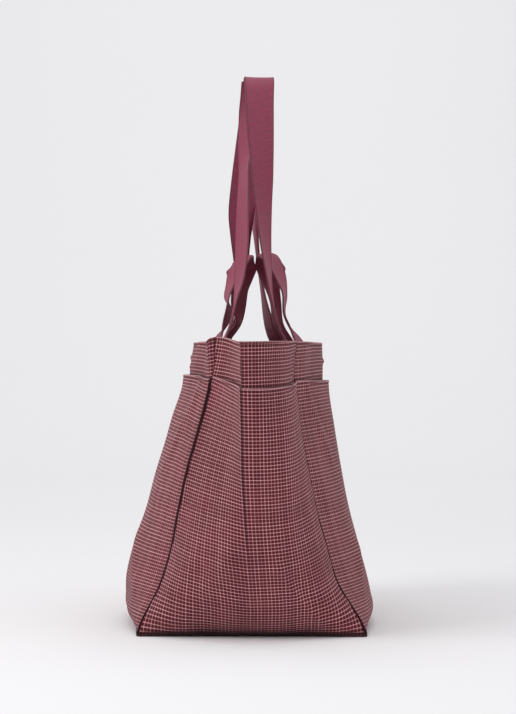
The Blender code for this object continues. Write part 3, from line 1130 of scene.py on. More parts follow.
@dataclass(frozen=True)
class RibbedWebbing:
    """Flat woven strap with fine ribs across it and a tight dark selvedge."""

    name: str
    # The rib tops take the first colour and the grooves between the ribs the second; the darker grooves are
    # painted shade.
    top: Colour = (0.320, 0.042, 0.096)
    between: Colour = (0.180, 0.019, 0.046)
    selvedge: Colour = (0.130, 0.016, 0.034)
    rib: float = 0.0016
    yarn: float = 0.0011
    width: float = 0.038

    def build(self) -> Material:
        """Builds the material.

        Returns:
            The webbing, whose ribs follow the UV map.
        """
        nodes = Nodes(self.name, 0.7)
        u, v = nodes.uv()
        wander = nodes.noise(nodes.vector(u, nodes.times(v, 0.5), 0.0), 70, 1)
        phase = nodes.plus(nodes.math("DIVIDE", v, self.rib), nodes.times(wander, 0.5))
        rib = nodes.math("SINE", nodes.times(phase, math.tau))
        which = nodes.math("FLOOR", phase)
        strength = nodes.ramp(nodes.white(which), 0, 1, 0.55, 1.0)
        ridge = nodes.ramp(nodes.times(rib, strength), -0.9, 0.9)
        chain = nodes.math("SINE", nodes.times(u, math.tau / self.yarn))
        # Darker in the grooves between the ribs: painted shade, with a random strength for each rib.
        colour = nodes.mix(ridge, self.between, self.top)
        streak = nodes.noise(nodes.vector(nodes.times(u, 0.35), v, 0.0), 420, 2)
        tone = nodes.ramp(streak, 0.3, 0.7, 0.80, 1.16)
        colour = nodes.toned(colour, tone)
        edge = nodes.ramp(nodes.math("ABSOLUTE", u), 0.5 * self.width - 0.0018, 0.5 * self.width - 0.0006)
        colour = nodes.mix(edge, colour, self.selvedge)
        nodes.set("Base Color", colour)
        weave = nodes.plus(nodes.times(rib, strength), nodes.times(chain, 0.25))
        nodes.bumped(weave, 0.00014, 0.8)
        rough = nodes.ramp(streak, 0.3, 0.7, 0.52, 0.72)
        nodes.set("Roughness", rough)
        nodes.sheen(0.22, 0.30, (1.0, 0.50, 0.62))
        return nodes.material


@dataclass(frozen=True)
class Thread:
    """Matt twisted sewing thread, or the bound edge that it makes."""

    name: str
    colour: Colour
    twist: float = 0.0009

    def build(self) -> Material:
        """Builds the material.

        Returns:
            The thread.
        """
        nodes = Nodes(self.name, 0.75)
        fine = nodes.noise(nodes.place(), 1 / self.twist, 2)
        dark = tuple(0.55 * channel for channel in self.colour)
        nodes.set("Base Color", nodes.mix(nodes.ramp(fine, 0.35, 0.65), dark, self.colour))
        nodes.bumped(fine, 0.0001, 0.7)
        nodes.set("Specular IOR Level", 0.12)
        return nodes.material


@dataclass(frozen=True)
class PaleFloor:
    """A matt pale sweep with hardly any tone of its own."""

    name: str = "pale_sweep"
    colour: Colour = (0.86, 0.855, 0.86)
    cloud: Colour = (0.80, 0.80, 0.80)

    def build(self) -> Material:
        """Builds the material.

        Returns:
            The sweep's finish.
        """
        nodes = Nodes(self.name, 0.9)
        cloudy = nodes.ramp(nodes.noise(nodes.place(), 1.3, 2), 0.3, 0.7, 0, 0.05)
        nodes.set("Base Color", nodes.mix(cloudy, self.colour, self.cloud))
        nodes.set("Specular IOR Level", 0.1)
        return nodes.material


class ClothPanel:
    """One panel of cloth on a wall of the bag."""

    BESIDE_SEAM = 0.99

    def __init__(self, form: BagForm, relief: Relief, side: Side, fine: float) -> None:
        """Lays out the panel's rows and columns.

        Args:
            form: The bag's form.
            relief: How its cloth stands off that form.
            side: The wall.
            fine: The distance between two columns, in metres.
        """
        self.form, self.relief, self.side = form, relief, side
        width = form.base_depth if side.is_gusset else form.base_length
        self.places = self.edge_places(width / 2, fine)
        self.middle = len(self.places) // 2

    @staticmethod
    def edge_places(half: float, fine: float) -> Array:
        """Places from -1 to 1, even but for a few that are closer at both ends and beside the middle.

        Args:
            half: Half the panel's width, in metres.
            fine: The distance between two columns, in metres.

        Returns:
            The places.
        """
        by_seam = np.array([0, 0.4, 0.8, 1.2, 1.7, 2.3, 3.2, 4.4]) * MILLIMETRE
        by_middle = np.array([0.5, 1.0, 1.6]) * MILLIMETRE / half
        between = np.linspace(0, 1 - by_seam[-1] / half - fine / half / 2, round(half / fine))
        positive = np.unique(np.concatenate([between, by_middle, 1 - by_seam / half]).round(6))
        return np.concatenate([-positive[:0:-1], positive])

    def heights(self, top: Array, count: int) -> Array:
        """Rows of heights up to an edge, close together at its hem.

        Args:
            top: The edge's height at each column, as a share of the wall's.
            count: The number of rows below the hem.

        Returns:
            The height of each row and column.
        """
        hem = np.array([5.2, 4.7, 4.3, 3.9, 3.5, 3.2, 2.7, 2.1, 1.5, 0.9, 0.4, 0.0]) * MILLIMETRE
        foot = np.array([0, 0.8, 1.8, 3.2]) * MILLIMETRE
        span = self.form.wall_height * self.form.pocket_share
        even = np.linspace(foot[-1] / span, 1 - hem[0] / span, count)
        rows = np.concatenate([foot[:-1] / span, even[:-1]])
        low = rows[:, None] * (top - hem[0] / self.form.wall_height)[None] / even[-1]
        high = top[None] - hem[:, None] / self.form.wall_height
        return np.concatenate([low, high])

    def threads(self, points: Array, heights: Array) -> Array:
        """Where each point lies on the flat cloth, whose level threads are drawn up or down near the seams.

        Args:
            points: The form's points.
            heights: The height of each row and column.

        Returns:
            The distance from the middle column and along the threads from the foot, for each point.
        """
        flat = true_lengths(points, self.middle)
        own = self.places * self.side.turn
        if self.side.is_gusset:
            drawn = np.abs(own) ** np.where(own < 0, self.relief.draw_left, self.relief.draw_right)
            flat[..., 1] = flat[:, self.middle, 1][:, None] - self.form.curves.at("drop", heights) * drawn
        else:
            drawn = self.relief.face_draw * own**2
            flat[..., 1] = flat[:, 0, 1][:, None] + drawn * eased(heights / self.relief.face_draw_rise)
        return flat

    def mitred(self, normals: Array, heights: Array) -> Array:
        """Normals whose first and last columns halve the corner with the next wall.

        Args:
            normals: The wall's own normals.
            heights: The height of each row and column.

        Returns:
            The directions in which a layer's thickness is laid.
        """
        normals = normals.copy()
        for column, step, other_column in ((0, -1, -1), (-1, 1, 0)):
            other = self.side.neighbour(step)
            places = np.array([-1, -self.BESIDE_SEAM] if other_column == 0 else [self.BESIDE_SEAM, 1])
            height = heights[:, column]
            near = self.form.wall(other, places[None, :], height[:, None])
            next_wall = grid_normals(near)[:, other_column]
            own = normals[:, column]
            normals[:, column] = (own + next_wall) / (1 + (own * next_wall).sum(axis=1, keepdims=True))
        return normals

    def surface(self, top: Array, count: int, stand: Callable) -> Outside:
        """The panel's outside.

        Args:
            top: The edge's height at each column.
            count: The number of rows below the hem.
            stand: Gives how far the cloth's outside stands off the bag's form, at each place and height.

        Returns:
            The points, their places on the flat cloth, and their distances below the edge.
        """
        heights = self.heights(top, count)
        places = np.broadcast_to(self.places, heights.shape)
        form_points = self.form.wall(self.side, places, heights)
        directions = self.mitred(grid_normals(form_points), heights)
        flat = self.threads(form_points, heights)
        own = places * self.side.turn
        below = (top[None] - heights) * self.form.wall_height
        relief = self.relief.height(self.side, own, heights, flat) + self.relief.hem(below)
        out = stand(own, heights) + relief
        return form_points + directions * out[..., None], flat, below

    def sewn(
        self,
        name: str,
        outside: Outside,
        dark: Array | float,
        seam_shade: Array | float,
    ) -> Piece:
        """Makes the panel a piece of cloth.

        Args:
            name: The piece's name.
            outside: The cloth's points, their places on the flat cloth and their distances below the edge.
            dark: How much painted shade each point gets, from 0 to 1.
            seam_shade: How much painted shade the seams get at each point, from 0 to 1.

        Returns:
            The piece.
        """
        points, flat, below = outside
        obj = shaped_grid(name, points, flat)
        # The fold attribute carries the painted highlight of the folded edge.
        point_attribute(obj, "fold", self.relief.painted_fold_highlight(below), points)
        # Painted shade in seams, hem grooves, crease and foot, plus the painted shadow of the pocket mouths.
        shade = self.relief.shade(self.side, self.places * self.side.turn, flat, below, seam_shade)
        point_attribute(obj, "painted_shade", np.clip(shade + dark, 0, 1), points)
        applied(obj, "SOLIDIFY", thickness=self.form.cloth, offset=-1, use_rim=True)
        smooth(obj)
        return obj


@dataclass
class ClothLayer:
    """A layer of cloth with a wall on each side of the bag."""

    form: BagForm
    relief: Relief
    cloth: Material
    slot: str
    gusset_node: str
    face_node: str
    rows: int
    fine: float = 0.0020

    def node(self, side: Side) -> str:
        """The node that a wall stands for."""
        return f"{self.gusset_node if side.is_gusset else self.face_node}_{side.value}"

    def edge(self, side: Side, place: Array) -> Array:
        """The height of the layer's edge at each place, as a share of the wall's."""
        return np.ones(len(place))

    def stand(self, side: Side, place: Array, height: Array) -> Array:
        """How far the layer's outside stands off the bag's form at each place and height."""
        return 0 * place

    def shades(self, panel: ClothPanel, below: Array) -> tuple[Array | float, Array | float]:
        """How much painted shade each point of a panel gets, and how much its seams get there."""
        return 0.0, 1.0

    def trimmed(self, points: Array) -> Array:
        """A wall's points, with its side edges where the layer has them."""
        return points

    def outside(self, side: Side, rows: int) -> tuple[ClothPanel, Outside]:
        """One wall of the layer.

        Args:
            side: The wall.
            rows: The number of rows below the hem.

        Returns:
            The panel, and its points, their places on the flat cloth and their distances below the edge.
        """
        panel = ClothPanel(self.form, self.relief, side, self.fine)
        top = self.edge(side, panel.places * side.turn)
        return panel, panel.surface(top, rows, partial(self.stand, side))

    def build(self) -> None:
        """Builds the four walls."""
        for side in Side:
            panel, (points, flat, below) = self.outside(side, self.rows)
            outside = self.trimmed(points), flat, below
            piece = panel.sewn(f"{self.node(side)}_cloth", outside, *self.shades(panel, below))
            fitted(piece, self.cloth, self.slot, self.node(side))


@dataclass
class BagBody(ClothLayer):
    """The bag's own four walls, from the base to the rim."""

    slot: str = "body_cloth"
    gusset_node: str = "gusset"
    face_node: str = "face_panel"
    rows: int = 120
    mouth_width: float = 0.0022
    mouth_rise: float = 0.0006
    mouth_shade: float = 0.8
    gape_power: float = 0.8
    upper_seam_light: float = 0.5
    upper_seam_fade: float = 0.004

    def shades(self, panel: ClothPanel, below: Array) -> tuple[Array, Array]:
        """The painted shadow that the pocket mouths cast, and less painted seam shade above them.

        Args:
            panel: A wall's panel.
            below: Each point's distance below the rim.

        Returns:
            How much painted shadow each point gets, and how much painted shade the seams get there.
        """
        side = panel.side
        own = panel.places * side.turn
        above = (1 - self.form.pocket_top(side, own))[None] * self.form.wall_height - below
        gape = np.abs(np.sin(np.pi * own)) ** self.gape_power if side.is_gusset else np.ones(len(own))
        # Painted shadow just above each pocket mouth, deepest where the mouth gapes.
        dark = bump(above - self.mouth_rise, self.mouth_width) * gape[None] * self.mouth_shade
        # Less painted seam shade above the pocket mouths.
        return dark, 1 - self.upper_seam_light * eased(above / self.upper_seam_fade)


@dataclass
class PocketLayer(ClothLayer):
    """The outer layer that makes a pocket on every wall."""

    slot: str = "pocket_cloth"
    gusset_node: str = "pocket_end"
    face_node: str = "pocket_face"
    rows: int = 110
    gape: float = 0.0022
    least_gape: float = 0.0004
    pull_back: float = 0.000315

    def edge(self, side: Side, place: Array) -> Array:
        """The height of the pocket's mouth at each place, as a share of the wall's."""
        return self.form.pocket_top(side, place)

    def stand(self, side: Side, place: Array, height: Array) -> Array:
        """How far the layer's outside stands off the bag's form.

        Args:
            side: The wall.
            place: Places across the wall.
            height: Shares of the wall's height.

        Returns:
            The distance at each place.
        """
        form = self.form
        rising = eased((height - form.pocket_rise_start) / (form.pocket_share - form.pocket_rise_start))
        if side.is_gusset:
            slack = self.gape * np.abs(np.sin(np.pi * place)) + self.least_gape
        else:
            slack = form.face_pocket_stand * (1 - place**2)
        return form.layer_gap + form.cloth + slack * rising

    def trimmed(self, points: Array) -> Array:
        """Draws a wall's side edges back a little from the seams.

        Args:
            points: Rows of points.

        Returns:
            The same rows, changed at both ends.
        """
        for end, further in ((0, 3), (-1, -4)):
            points[:, end] += unit(points[:, further] - points[:, end]) * self.pull_back
        return points


@dataclass
class BaseBoard:
    """The flat bottom with its folded edge, which lifts a little in the middle of each end."""

    form: BagForm
    cloth: Material
    count: int = 64
    lift: float = 0.0026
    end_start: float = 0.93
    edge_round: float = 0.8

    def outline(self, reach: float) -> Array:
        """The base's outline.

        Args:
            reach: How far it lies outside the walls' foot.

        Returns:
            Its points, counter-clockwise seen from above.
        """
        places = np.linspace(-1, 1, self.count + 1)[:-1]
        zero = np.zeros(len(places))
        ring = np.concatenate([self.form.wall(side, places, zero) for side in Side])
        ahead = np.roll(ring, -1, axis=0) - np.roll(ring, 1, axis=0)
        return ring + unit(np.cross(ahead, UP)) * reach

    def build(self) -> None:
        """Builds the bottom and its edge."""
        reach = self.form.layer_gap + self.form.cloth + self.form.welt_overhang
        ring = self.outline(reach)
        deselect_all()
        bpy.ops.mesh.primitive_circle_add(vertices=len(ring), radius=1, fill_type="TRIFAN")
        obj = bpy.context.object
        obj.name = obj.data.name = "base_panel_cloth"
        rim = [vertex for vertex in obj.data.vertices if vertex.co.length > 0.5]
        rim.sort(key=lambda vertex: math.atan2(vertex.co.y, vertex.co.x))
        ring = np.roll(ring, -int(np.argmin(np.arctan2(ring[:, 1], ring[:, 0]))), axis=0)
        for vertex, corner in zip(rim, ring):
            vertex.co = (*corner[:2], 0)
        thick = self.form.base_thickness
        applied(obj, "SOLIDIFY", thickness=thick, offset=1, use_rim=True)
        self.round_edge(obj, thick / 2)
        self.lay_out(obj)
        # Both attributes stay zero on the base: no painted highlight and no painted shade there.
        for name in ("fold", "painted_shade"):
            obj.data.attributes.new(name, "FLOAT", "POINT")
        smooth(obj, 40)
        fitted(obj, self.cloth, "base_cloth", "base_panel")

    def round_edge(self, obj: Piece, radius: float) -> None:
        """Rounds the rim of the base and lifts it a little in the middle of each end.

        Args:
            obj: The flat base.
            radius: Half its thickness.
        """
        round_edges(obj, radius * self.edge_round, 3)
        half = self.form.base_length / 2
        for vertex in obj.data.vertices:
            aside = abs(vertex.co.x) / (self.form.base_depth / 2)
            end = max(abs(vertex.co.y) - half * self.end_start, 0) / (half * (1 - self.end_start))
            vertex.co.z += self.lift * max(1 - aside**2, 0) * min(end, 1)

    def lay_out(self, obj: Piece) -> None:
        """Gives the base its flat places, with the edge unrolled outwards.

        Args:
            obj: The base.
        """
        mesh = obj.data
        layer = mesh.uv_layers.active or mesh.uv_layers.new(name="UVMap")
        for loop in mesh.loops:
            co = mesh.vertices[loop.vertex_index].co
            out = Vector((co.x, co.y, 0)).normalized() * co.z
            layer.data[loop.index].uv = (co.x + out.x, co.y + out.y)


@dataclass
class SeamLines:
    """The sewn corner lines between the walls, in the grooves that the cloth leaves, coloured near black:
    partly the binding's own colour, partly painted shade of the groove.
    """

    form: BagForm
    binding: Material
    wide: float = 0.0023
    narrow: float = 0.0012
    thin: float = 0.00035
    thickness: float = 0.0010
    rows: int = 150
    beside_seam: float = 0.996
    sunk: float = 0.0008
    sunk_above_mouth: float = 0.0008
    proud: float = 1.15
    mouth_fade: float = 0.01
    knee: float = 0.14
    knee_fade: float = 0.05
    fall: float = 0.0006

    def build(self) -> None:
        """Builds a seam at each of the four corners."""
        corners = {
            Side.NEAR: "seam_near_right",
            Side.RIGHT: "seam_far_right",
            Side.FAR: "seam_far_left",
            Side.LEFT: "seam_near_left",
        }
        for side, name in corners.items():
            self.seam(side, name)

    def widths(self, side: Side, heights: Array, pocket: Array) -> Array:
        """Half the binding's width: wider over the knee of the near left seam, and thin above the pockets.

        Args:
            side: The wall that the seam ends.
            heights: Shares of the wall's height.
            pocket: 1 where the seam joins the pocket layer, 0 above it.

        Returns:
            Half the width at each height.
        """
        over_knee = eased((heights - self.knee) / self.knee_fade) * (side is Side.LEFT)
        wide = self.narrow + (self.wide - self.narrow) * over_knee
        return self.thin + (wide - self.thin) * pocket

    def seam(self, side: Side, name: str) -> None:
        """Builds the seam at the end of one wall.

        Args:
            side: The wall that the seam ends.
            name: The piece's name.
        """
        form = self.form
        heights = np.linspace(0.0, 1.0, self.rows)
        columns = np.array([self.beside_seam, 1.0])
        own = form.wall(side, columns[None], heights[:, None])
        other = form.wall(side.neighbour(1), -columns[::-1][None], heights[:, None])
        out = unit(grid_normals(own)[:, -1] + grid_normals(other)[:, 0])
        top = float(form.pocket_top(side, np.array([float(side.turn)]))[0])
        pocket = eased((top - heights) / self.mouth_fade)
        layer = (form.layer_gap + form.cloth) * self.proud
        rise = layer * pocket - self.sunk - self.sunk_above_mouth * (1 - pocket)
        middle = own[:, -1] + out * rise[:, None]
        across = unit(np.cross(np.gradient(middle, axis=0), out))
        offsets = np.array([-1, -0.5, 0, 0.5, 1])
        width = self.widths(side, heights, pocket)
        points = middle[:, None] - across[:, None] * (offsets[None] * width[:, None])[..., None]
        points -= out[:, None] * (self.fall * offsets**2)[None, :, None]
        obj = shaped_grid(name, points, true_lengths(points, 2))
        applied(obj, "SOLIDIFY", thickness=self.thickness, offset=-1, use_rim=True)
        smooth(obj)
        fitted(obj, self.binding, "body_cloth")


def one_stitch(length: float, width: float) -> tuple[Array, list[tuple[int, ...]]]:
    """One stitch of thread, along X on a surface that faces Z.

    Args:
        length: The stitch's length.
        width: The thread's thickness.

    Returns:
        Its points and its faces.
    """
    deselect_all()
    along_x = (0, math.pi / 2, 0)
    bpy.ops.mesh.primitive_cylinder_add(vertices=6, radius=width / 2, depth=length, rotation=along_x)
    obj = bpy.context.object
    bpy.ops.object.transform_apply(location=False, rotation=True, scale=False)
    bpy.ops.object.mode_set(mode="EDIT")
    bpy.ops.mesh.select_all(action="SELECT")
    bpy.ops.mesh.bevel(offset=width * 0.3, segments=1, affect="EDGES")
    bpy.ops.object.mode_set(mode="OBJECT")
    points = np.array([vertex.co for vertex in obj.data.vertices])
    faces = [tuple(face.vertices) for face in obj.data.polygons]
    bpy.data.objects.remove(obj)
    return points, faces


class StitchRows:
    """Rows of stitches, joined into one piece."""

    LENGTH = 0.0026
    GAP = 0.0009
    WIDTH = 0.00055

    def __init__(self, name: str) -> None:
        """Starts an empty piece.

        Args:
            name: The piece's name.
        """
        self.name = name
        self.shape, self.faces = one_stitch(self.LENGTH, self.WIDTH)
        self.points: list[Array] = []

    def row(self, path: Array, normals: Array) -> None:
        """Adds a row of stitches.

        Args:
            path: Points that the row follows.
            normals: The way out of the cloth at each of them.
        """
        travelled = run_of(path)
        pitch = self.LENGTH + self.GAP
        for start in np.arange(pitch / 2, travelled[-1] - pitch / 2, pitch):
            ends = [
                np.array([np.interp(start + shift, travelled, path[:, axis]) for axis in range(3)])
                for shift in (-self.LENGTH / 2, 0, self.LENGTH / 2)
            ]
            out = np.array([np.interp(start, travelled, normals[:, axis]) for axis in range(3)])
            along = unit(ends[2] - ends[0])
            side = unit(np.cross(out, along))
            basis = np.stack([along, side, np.cross(along, side)])
            self.points.append(self.shape @ basis + ends[1])

    def build(self, thread: Material, slot: str) -> None:
        """Makes the piece.

        Args:
            thread: The thread's finish.
            slot: The material slot's name.
        """
        count = len(self.shape)
        faces = [tuple(i + count * n for i in face) for n in range(len(self.points)) for face in self.faces]
        mesh = bpy.data.meshes.new(self.name)
        mesh.from_pydata(np.concatenate(self.points).tolist(), [], faces)
        obj = placed(self.name, mesh)
        smooth(obj, 40)
        fitted(obj, thread, slot)


class Handle(Enum):
    """The four straps: the node, which side it is on, and the route above the rim."""

    LONG_RIGHT = ("long_strap_right", 1, LONG_RIGHT)
    LONG_LEFT = ("long_strap_left", -1, LONG_LEFT)
    SHORT_RIGHT = ("short_handle_right", 1, SHORT_RIGHT)
    SHORT_LEFT = ("short_handle_left", -1, SHORT_LEFT)

    @property
    def node(self) -> str:
        """The node that the strap stands for."""
        return self.value[0]

    @property
    def sign(self) -> int:
        """1 on the right face, -1 on the left."""
        return self.value[1]

    @property
    def stations(self) -> tuple[Station, ...]:
        """The strap's route above the rim."""
        return self.value[2]

    @property
    def is_long(self) -> bool:
        """Whether it is a shoulder strap."""
        return self in (Handle.LONG_RIGHT, Handle.LONG_LEFT)


@dataclass
class Straps:
    """The two shoulder straps and the two short handles, sewn inside the wide faces."""

    form: BagForm
    webbing: Material
    thread: Material
    width: float = 0.038
    thickness: float = 0.002
    spread: float = 0.118
    root_spacing: float = 0.005
    root_length: float = 0.038
    root_below_rim: float = 0.034
    root_gap: float = 0.0007
    spacing: float = 0.0016
    columns: int = 14
    crown: float = 0.0004
    edge_round: float = 0.0005
    straight_above_root: float = 0.008
    soft_reach: float = 0.009
    stitch_inset: float = 0.004
    stitch_levels: tuple[float, float] = (0.10, 0.90)
    stitch_lift: float = 0.0003

    def spread_of(self, handle: Handle) -> float:
        """How far a strap's roots are from the middle of the face."""
        return self.spread if handle.is_long else self.spread - self.width - self.root_spacing

    def root(self, handle: Handle, end: int) -> list[Array]:
        """The right edge, middle and left edge of a sewn end, from its foot upwards.

        Args:
            handle: The strap.
            end: -1 for the near end, 1 for the far one.

        Returns:
            Three rows of three points.
        """
        form, step = self.form, 1e-4
        inward = form.cloth + self.root_gap + self.thickness / 2
        found = []
        for part in (1, 0.5, 0):
            height = 1 - (self.root_below_rim + part * self.root_length) / form.wall_height
            seam = float(form.curves.at("seam_y", np.array(height))) * form.base_length / 2
            shares = np.array([0.5, 0, -0.5])
            along = (end * self.spread_of(handle) - shares * end * handle.sign * self.width) / seam
            here = form.face_point(handle.sign, along, np.full(3, height))
            ahead = form.face_point(handle.sign, along + step, np.full(3, height))
            above = form.face_point(handle.sign, along, np.full(3, height + step))
            out = unit(np.cross(ahead - here, above - here)) * handle.sign
            found.append(here - out * inward)
        return found

    def route(self, handle: Handle) -> Array:
        """The right edge, middle and left edge all along a strap.

        Args:
            handle: The strap.

        Returns:
            Rows of three points, evenly spaced along the strap.
        """
        form = self.form
        rise = form.long_rise if handle.is_long else form.short_rise
        above = []
        for row in handle.stations:
            turn, tilt = math.radians(row.turn), math.radians(row.tilt)
            level = form.rim_height + row.rise * rise
            middle = np.array([row.across * self.width, row.along * self.spread_of(handle), level])
            half = np.array([math.cos(turn), math.sin(turn), math.sin(tilt)])
            half *= self.width / 2 / np.linalg.norm(half)
            above.append(np.stack([middle + half, middle + UP * row.arch * self.width, middle - half]))
        rows = np.array(self.root(handle, -1) + above + self.root(handle, 1)[::-1])
        places = run_of(rows[:, 1])
        rates = np.diff(rows, axis=0) / np.diff(places)[:, None, None]
        product = rates[:-1] * rates[1:]
        total = np.where(product > 0, rates[:-1] + rates[1:], 1)
        inside = np.where(product > 0, 2 * product / total, 0)
        rates = np.concatenate([rates[:1], inside, rates[-1:]])
        wanted = np.arange(0, places[-1], self.spacing)
        low = np.clip(np.searchsorted(places, wanted, side="right") - 1, 0, len(rows) - 2)
        span = (places[low + 1] - places[low])[:, None, None]
        share = ((wanted - places[low]) / (places[low + 1] - places[low]))[:, None, None]
        return self.softened(
            curve_between(rows[low], rows[low + 1], rates[low] * span, rates[low + 1] * span, share)
        )

    def softened(self, line: Array) -> Array:
        """Averages a strap's small kinks out, apart from its sewn ends.

        Args:
            line: Rows of three points.

        Returns:
            The softened rows.
        """
        kept = round((self.root_length + self.straight_above_root) / self.spacing)
        reach = round(self.soft_reach / self.spacing)
        kernel = np.hanning(2 * reach + 3)[1:-1]
        kernel /= kernel.sum()
        padded = np.concatenate([line[:1].repeat(reach, 0), line, line[-1:].repeat(reach, 0)])
        soft = sum(weight * padded[first : first + len(line)] for first, weight in enumerate(kernel))
        index = np.arange(len(line))
        share = eased(np.minimum(index, len(line) - 1 - index) / kept - 0.8)[:, None, None]
        return line + (soft - line) * share

    def strap(self, handle: Handle) -> None:
        """Builds one strap.

        Args:
            handle: The strap.
        """
        line = self.route(handle)
        right, middle, left = line[:, 0], line[:, 1], line[:, 2]
        across = unit(right - left)
        depth = unit(np.cross(np.gradient(middle, axis=0), across))
        shares = np.sin(np.linspace(-np.pi / 2, np.pi / 2, self.columns + 1))
        centre = (left + right) / 2
        bow = (middle - centre)[:, None] * (1 - shares**2)[None, :, None]
        points = centre[:, None] + across[:, None] * (shares * self.width / 2)[None, :, None] + bow
        height = self.crown * (1 - shares**2) + self.thickness / 2 * np.sqrt(1 - shares**6)
        points = points + depth[:, None] * height[None, :, None]
        travelled = np.arange(len(line)) * self.spacing
        flat = np.stack(np.broadcast_arrays(shares[None] * self.width / 2, travelled[:, None]), axis=-1)
        obj = shaped_grid(f"{handle.node}_webbing", points[:, ::-1], flat[:, ::-1])
        applied(obj, "SOLIDIFY", thickness=self.thickness, offset=-1, use_rim=True)
        round_edges(obj, self.edge_round, 2)
        smooth(obj, 55)
        fitted(obj, self.webbing, "webbing", handle.node)

    def root_stitches(self) -> None:
        """Sews each root with a box and a cross."""
        rows = StitchRows("strap_root_stitches")
        for handle in Handle:
            for end in (-1, 1):
                self.box_stitch(rows, handle, end)
        rows.build(self.thread, "webbing")

    def box_stitch(self, rows: StitchRows, handle: Handle, end: int) -> None:
        """Adds the box and cross of one root.

        Args:
            rows: The rows of stitches.
            handle: The strap.
            end: -1 for the near root, 1 for the far one.
        """
        foot, _, top = self.root(handle, end)
        inset = 0.5 - self.stitch_inset / self.width
        corners = {}
        for high, level in enumerate(self.stitch_levels):
            right, _, left = foot + (top - foot) * level
            for on_left, share in enumerate((0.5 + inset, 0.5 - inset)):
                corners[high, on_left] = left + (right - left) * share
        across, up = corners[0, 0] - corners[0, 1], corners[1, 1] - corners[0, 1]
        inward = unit(np.cross(up, across))
        inward *= -np.sign(inward[0]) * handle.sign
        lift = inward * (self.thickness / 2 + self.stitch_lift)
        box = ((0, 0), (0, 1), (1, 1), (1, 0), (0, 0))
        runs = (*zip(box, box[1:]), ((0, 0), (1, 1)), ((0, 1), (1, 0)))
        for start, finish in runs:
            path = np.linspace(corners[start], corners[finish], 8) + lift
            rows.row(path, np.tile(inward, (len(path), 1)))

    def build(self) -> None:
        """Builds the straps and their stitches."""
        for handle in Handle:
            self.strap(handle)
        self.root_stitches()


@dataclass
class HemStitches:
    """The stitch lines that hold down the folded edges of the cloth layers."""

    layers: dict[str, ClothLayer]
    thread: Material
    below: float = 0.0037
    rows: int = 60

    def build(self) -> None:
        """Sews a line round the edge of each layer."""
        for name, layer in self.layers.items():
            stitches = StitchRows(name)
            for side in Side:
                panel, (points, _, below) = layer.outside(side, self.rows)
                level = int(np.argmin(np.abs(below[:, panel.middle] - self.below)))
                stitches.row(points[level], grid_normals(points)[level])
            stitches.build(self.thread, layer.slot)


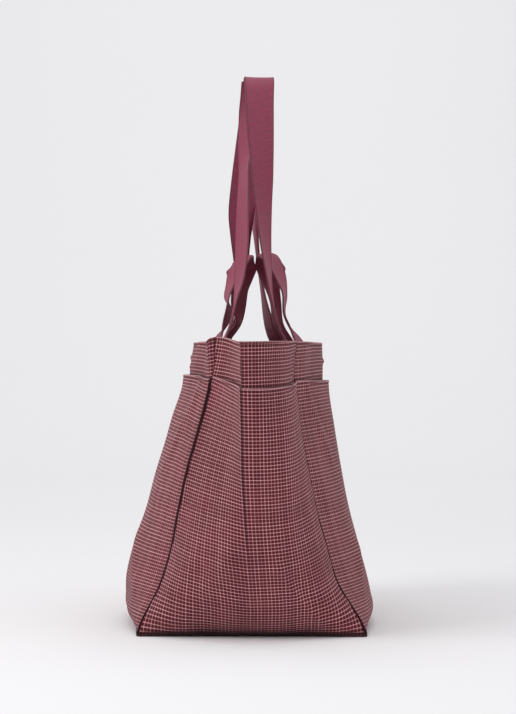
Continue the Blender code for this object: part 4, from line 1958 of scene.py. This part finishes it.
@dataclass
class Studio:
    """The pale sweep, the soft lights and the camera."""

    form: BagForm
    distance: float = 2.47
    eye_height: float = 0.311
    focal_px: float = 1972
    axis_px: tuple[float, float] = (252.5, 370)
    sensor: float = 36
    roll: float = -0.15
    sweep_width: float = 14
    sweep_front: float = -6.0
    sweep_back: float = 3.0
    sweep_run: float = 2.5
    sweep_rise: float = 5.0
    sweep_bend: float = 2.3

    def build(self) -> None:
        """Builds the set."""
        self.sweep()
        self.lights()
        self.camera()
        bpy.context.scene.view_settings.view_transform = "Standard"

    def sweep(self) -> None:
        """Lays the floor, which rises far behind the bag."""
        deselect_all()
        bpy.ops.mesh.primitive_plane_add(size=1)
        floor = bpy.context.object
        floor.name = floor.data.name = "floor_sweep"
        for vertex in floor.data.vertices:
            edge_y = self.sweep_back if vertex.co.y > 0 else self.sweep_front
            vertex.co = (vertex.co.x * self.sweep_width, edge_y, 0)
        bpy.ops.object.mode_set(mode="EDIT")
        bpy.ops.mesh.select_all(action="DESELECT")
        bpy.ops.mesh.select_mode(type="EDGE")
        bpy.ops.object.mode_set(mode="OBJECT")
        for edge in floor.data.edges:
            edge.select = all(floor.data.vertices[number].co.y > 0 for number in edge.vertices)
        bpy.ops.object.mode_set(mode="EDIT")
        for step in ((0, self.sweep_run, 0), (0, 0, self.sweep_rise)):
            bpy.ops.mesh.extrude_edges_move(TRANSFORM_OT_translate={"value": step})
        bpy.ops.object.mode_set(mode="OBJECT")
        round_edges(floor, self.sweep_bend, 24, 30)
        smooth(floor, 60)
        floor.data.materials.append(PaleFloor().build())

    def lights(self) -> None:
        """Hangs the soft lights and sets the room's own light."""
        bag = (0, 0, self.form.rim_height * 0.8)
        self.softbox("key_left", (-1.95, -1.15, 1.75), (1.5, 1.5), 28, bag)
        self.softbox("fill_right", (1.9, -1.3, 1.2), (1.4, 1.8), 5, bag)
        self.softbox("top", (0.0, 0.1, 2.6), (2.2, 2.2), 22, bag)
        self.softbox("wall_wash", (0.0, 2.2, 3.2), (5.0, 1.0), 51, (0, 5.4, 1.6))
        world = bpy.data.worlds.new("pale_room")
        world.use_nodes = True
        back = world.node_tree.nodes["Background"]
        back.inputs["Color"].default_value = (0.93, 0.93, 0.95, 1)
        back.inputs["Strength"].default_value = 0.62
        bpy.context.scene.world = world

    @staticmethod
    def softbox(
        name: str, place: Sequence[float], size: Sequence[float], power: float, aim: Sequence[float]
    ) -> None:
        """Hangs one soft light.

        Args:
            name: The light's name.
            place: Where it hangs.
            size: Its width and height.
            power: Its power in watts.
            aim: The place that it faces.
        """
        lamp = bpy.data.lights.new(name, "AREA")
        lamp.shape = "RECTANGLE"
        lamp.size, lamp.size_y, lamp.energy = *size, power
        obj = placed(name, lamp)
        obj.location = place
        obj.rotation_euler = (Vector(aim) - Vector(place)).to_track_quat("-Z", "Y").to_euler()

    def camera(self) -> None:
        """Sets the camera at the photograph's angle."""
        data = bpy.data.cameras.new("camera")
        data.sensor_width = self.sensor
        data.lens = self.focal_px / IMAGE_HEIGHT * self.sensor
        data.clip_end = 40
        camera = placed("camera", data)
        camera.location = (0, -self.distance, self.eye_height)
        yaw = -math.atan((IMAGE_WIDTH / 2 - self.axis_px[0]) / self.focal_px)
        pitch = math.atan((self.axis_px[1] - IMAGE_HEIGHT / 2) / self.focal_px)
        camera.rotation_euler = (math.pi / 2 + pitch, math.radians(self.roll), yaw)
        bpy.context.scene.camera = camera


def main() -> None:
    """Builds the bag and its set."""
    form = BagForm.from_frame()
    relief = Relief()
    body_cloth = CheckCloth("body_check").build()
    pocket_cloth = CheckCloth("pocket_check", shift=0.35).build()
    # The base is the same check made much darker: painted shade for the base's edge, which lies in shadow
    # under the walls.
    base_cloth = CheckCloth(
        "base_check_painted_shade",
        ground=(0.020, 0.0028, 0.005),
        single=(0.15, 0.065, 0.075),
        crossed=(0.34, 0.18, 0.20),
    ).build()
    webbing = RibbedWebbing("ribbed_webbing").build()
    # Near black: the seam binding's own colour with painted shade of the seam groove.
    seam_binding_and_painted_shade = Thread("seam_binding_and_painted_shade", (0.026, 0.004, 0.007)).build()
    hem_thread = Thread("hem_thread", (0.16, 0.045, 0.06)).build()
    strap_thread = Thread("strap_thread", (0.20, 0.045, 0.075)).build()
    body = BagBody(form, relief, body_cloth)
    pockets = PocketLayer(form, relief, pocket_cloth)
    body.build()
    pockets.build()
    BaseBoard(form, base_cloth).build()
    SeamLines(form, seam_binding_and_painted_shade).build()
    HemStitches({"rim_stitches": body, "pocket_stitches": pockets}, hem_thread).build()
    Straps(form, webbing, strap_thread).build()
    Studio(form).build()


if __name__ == "__main__":
    main()
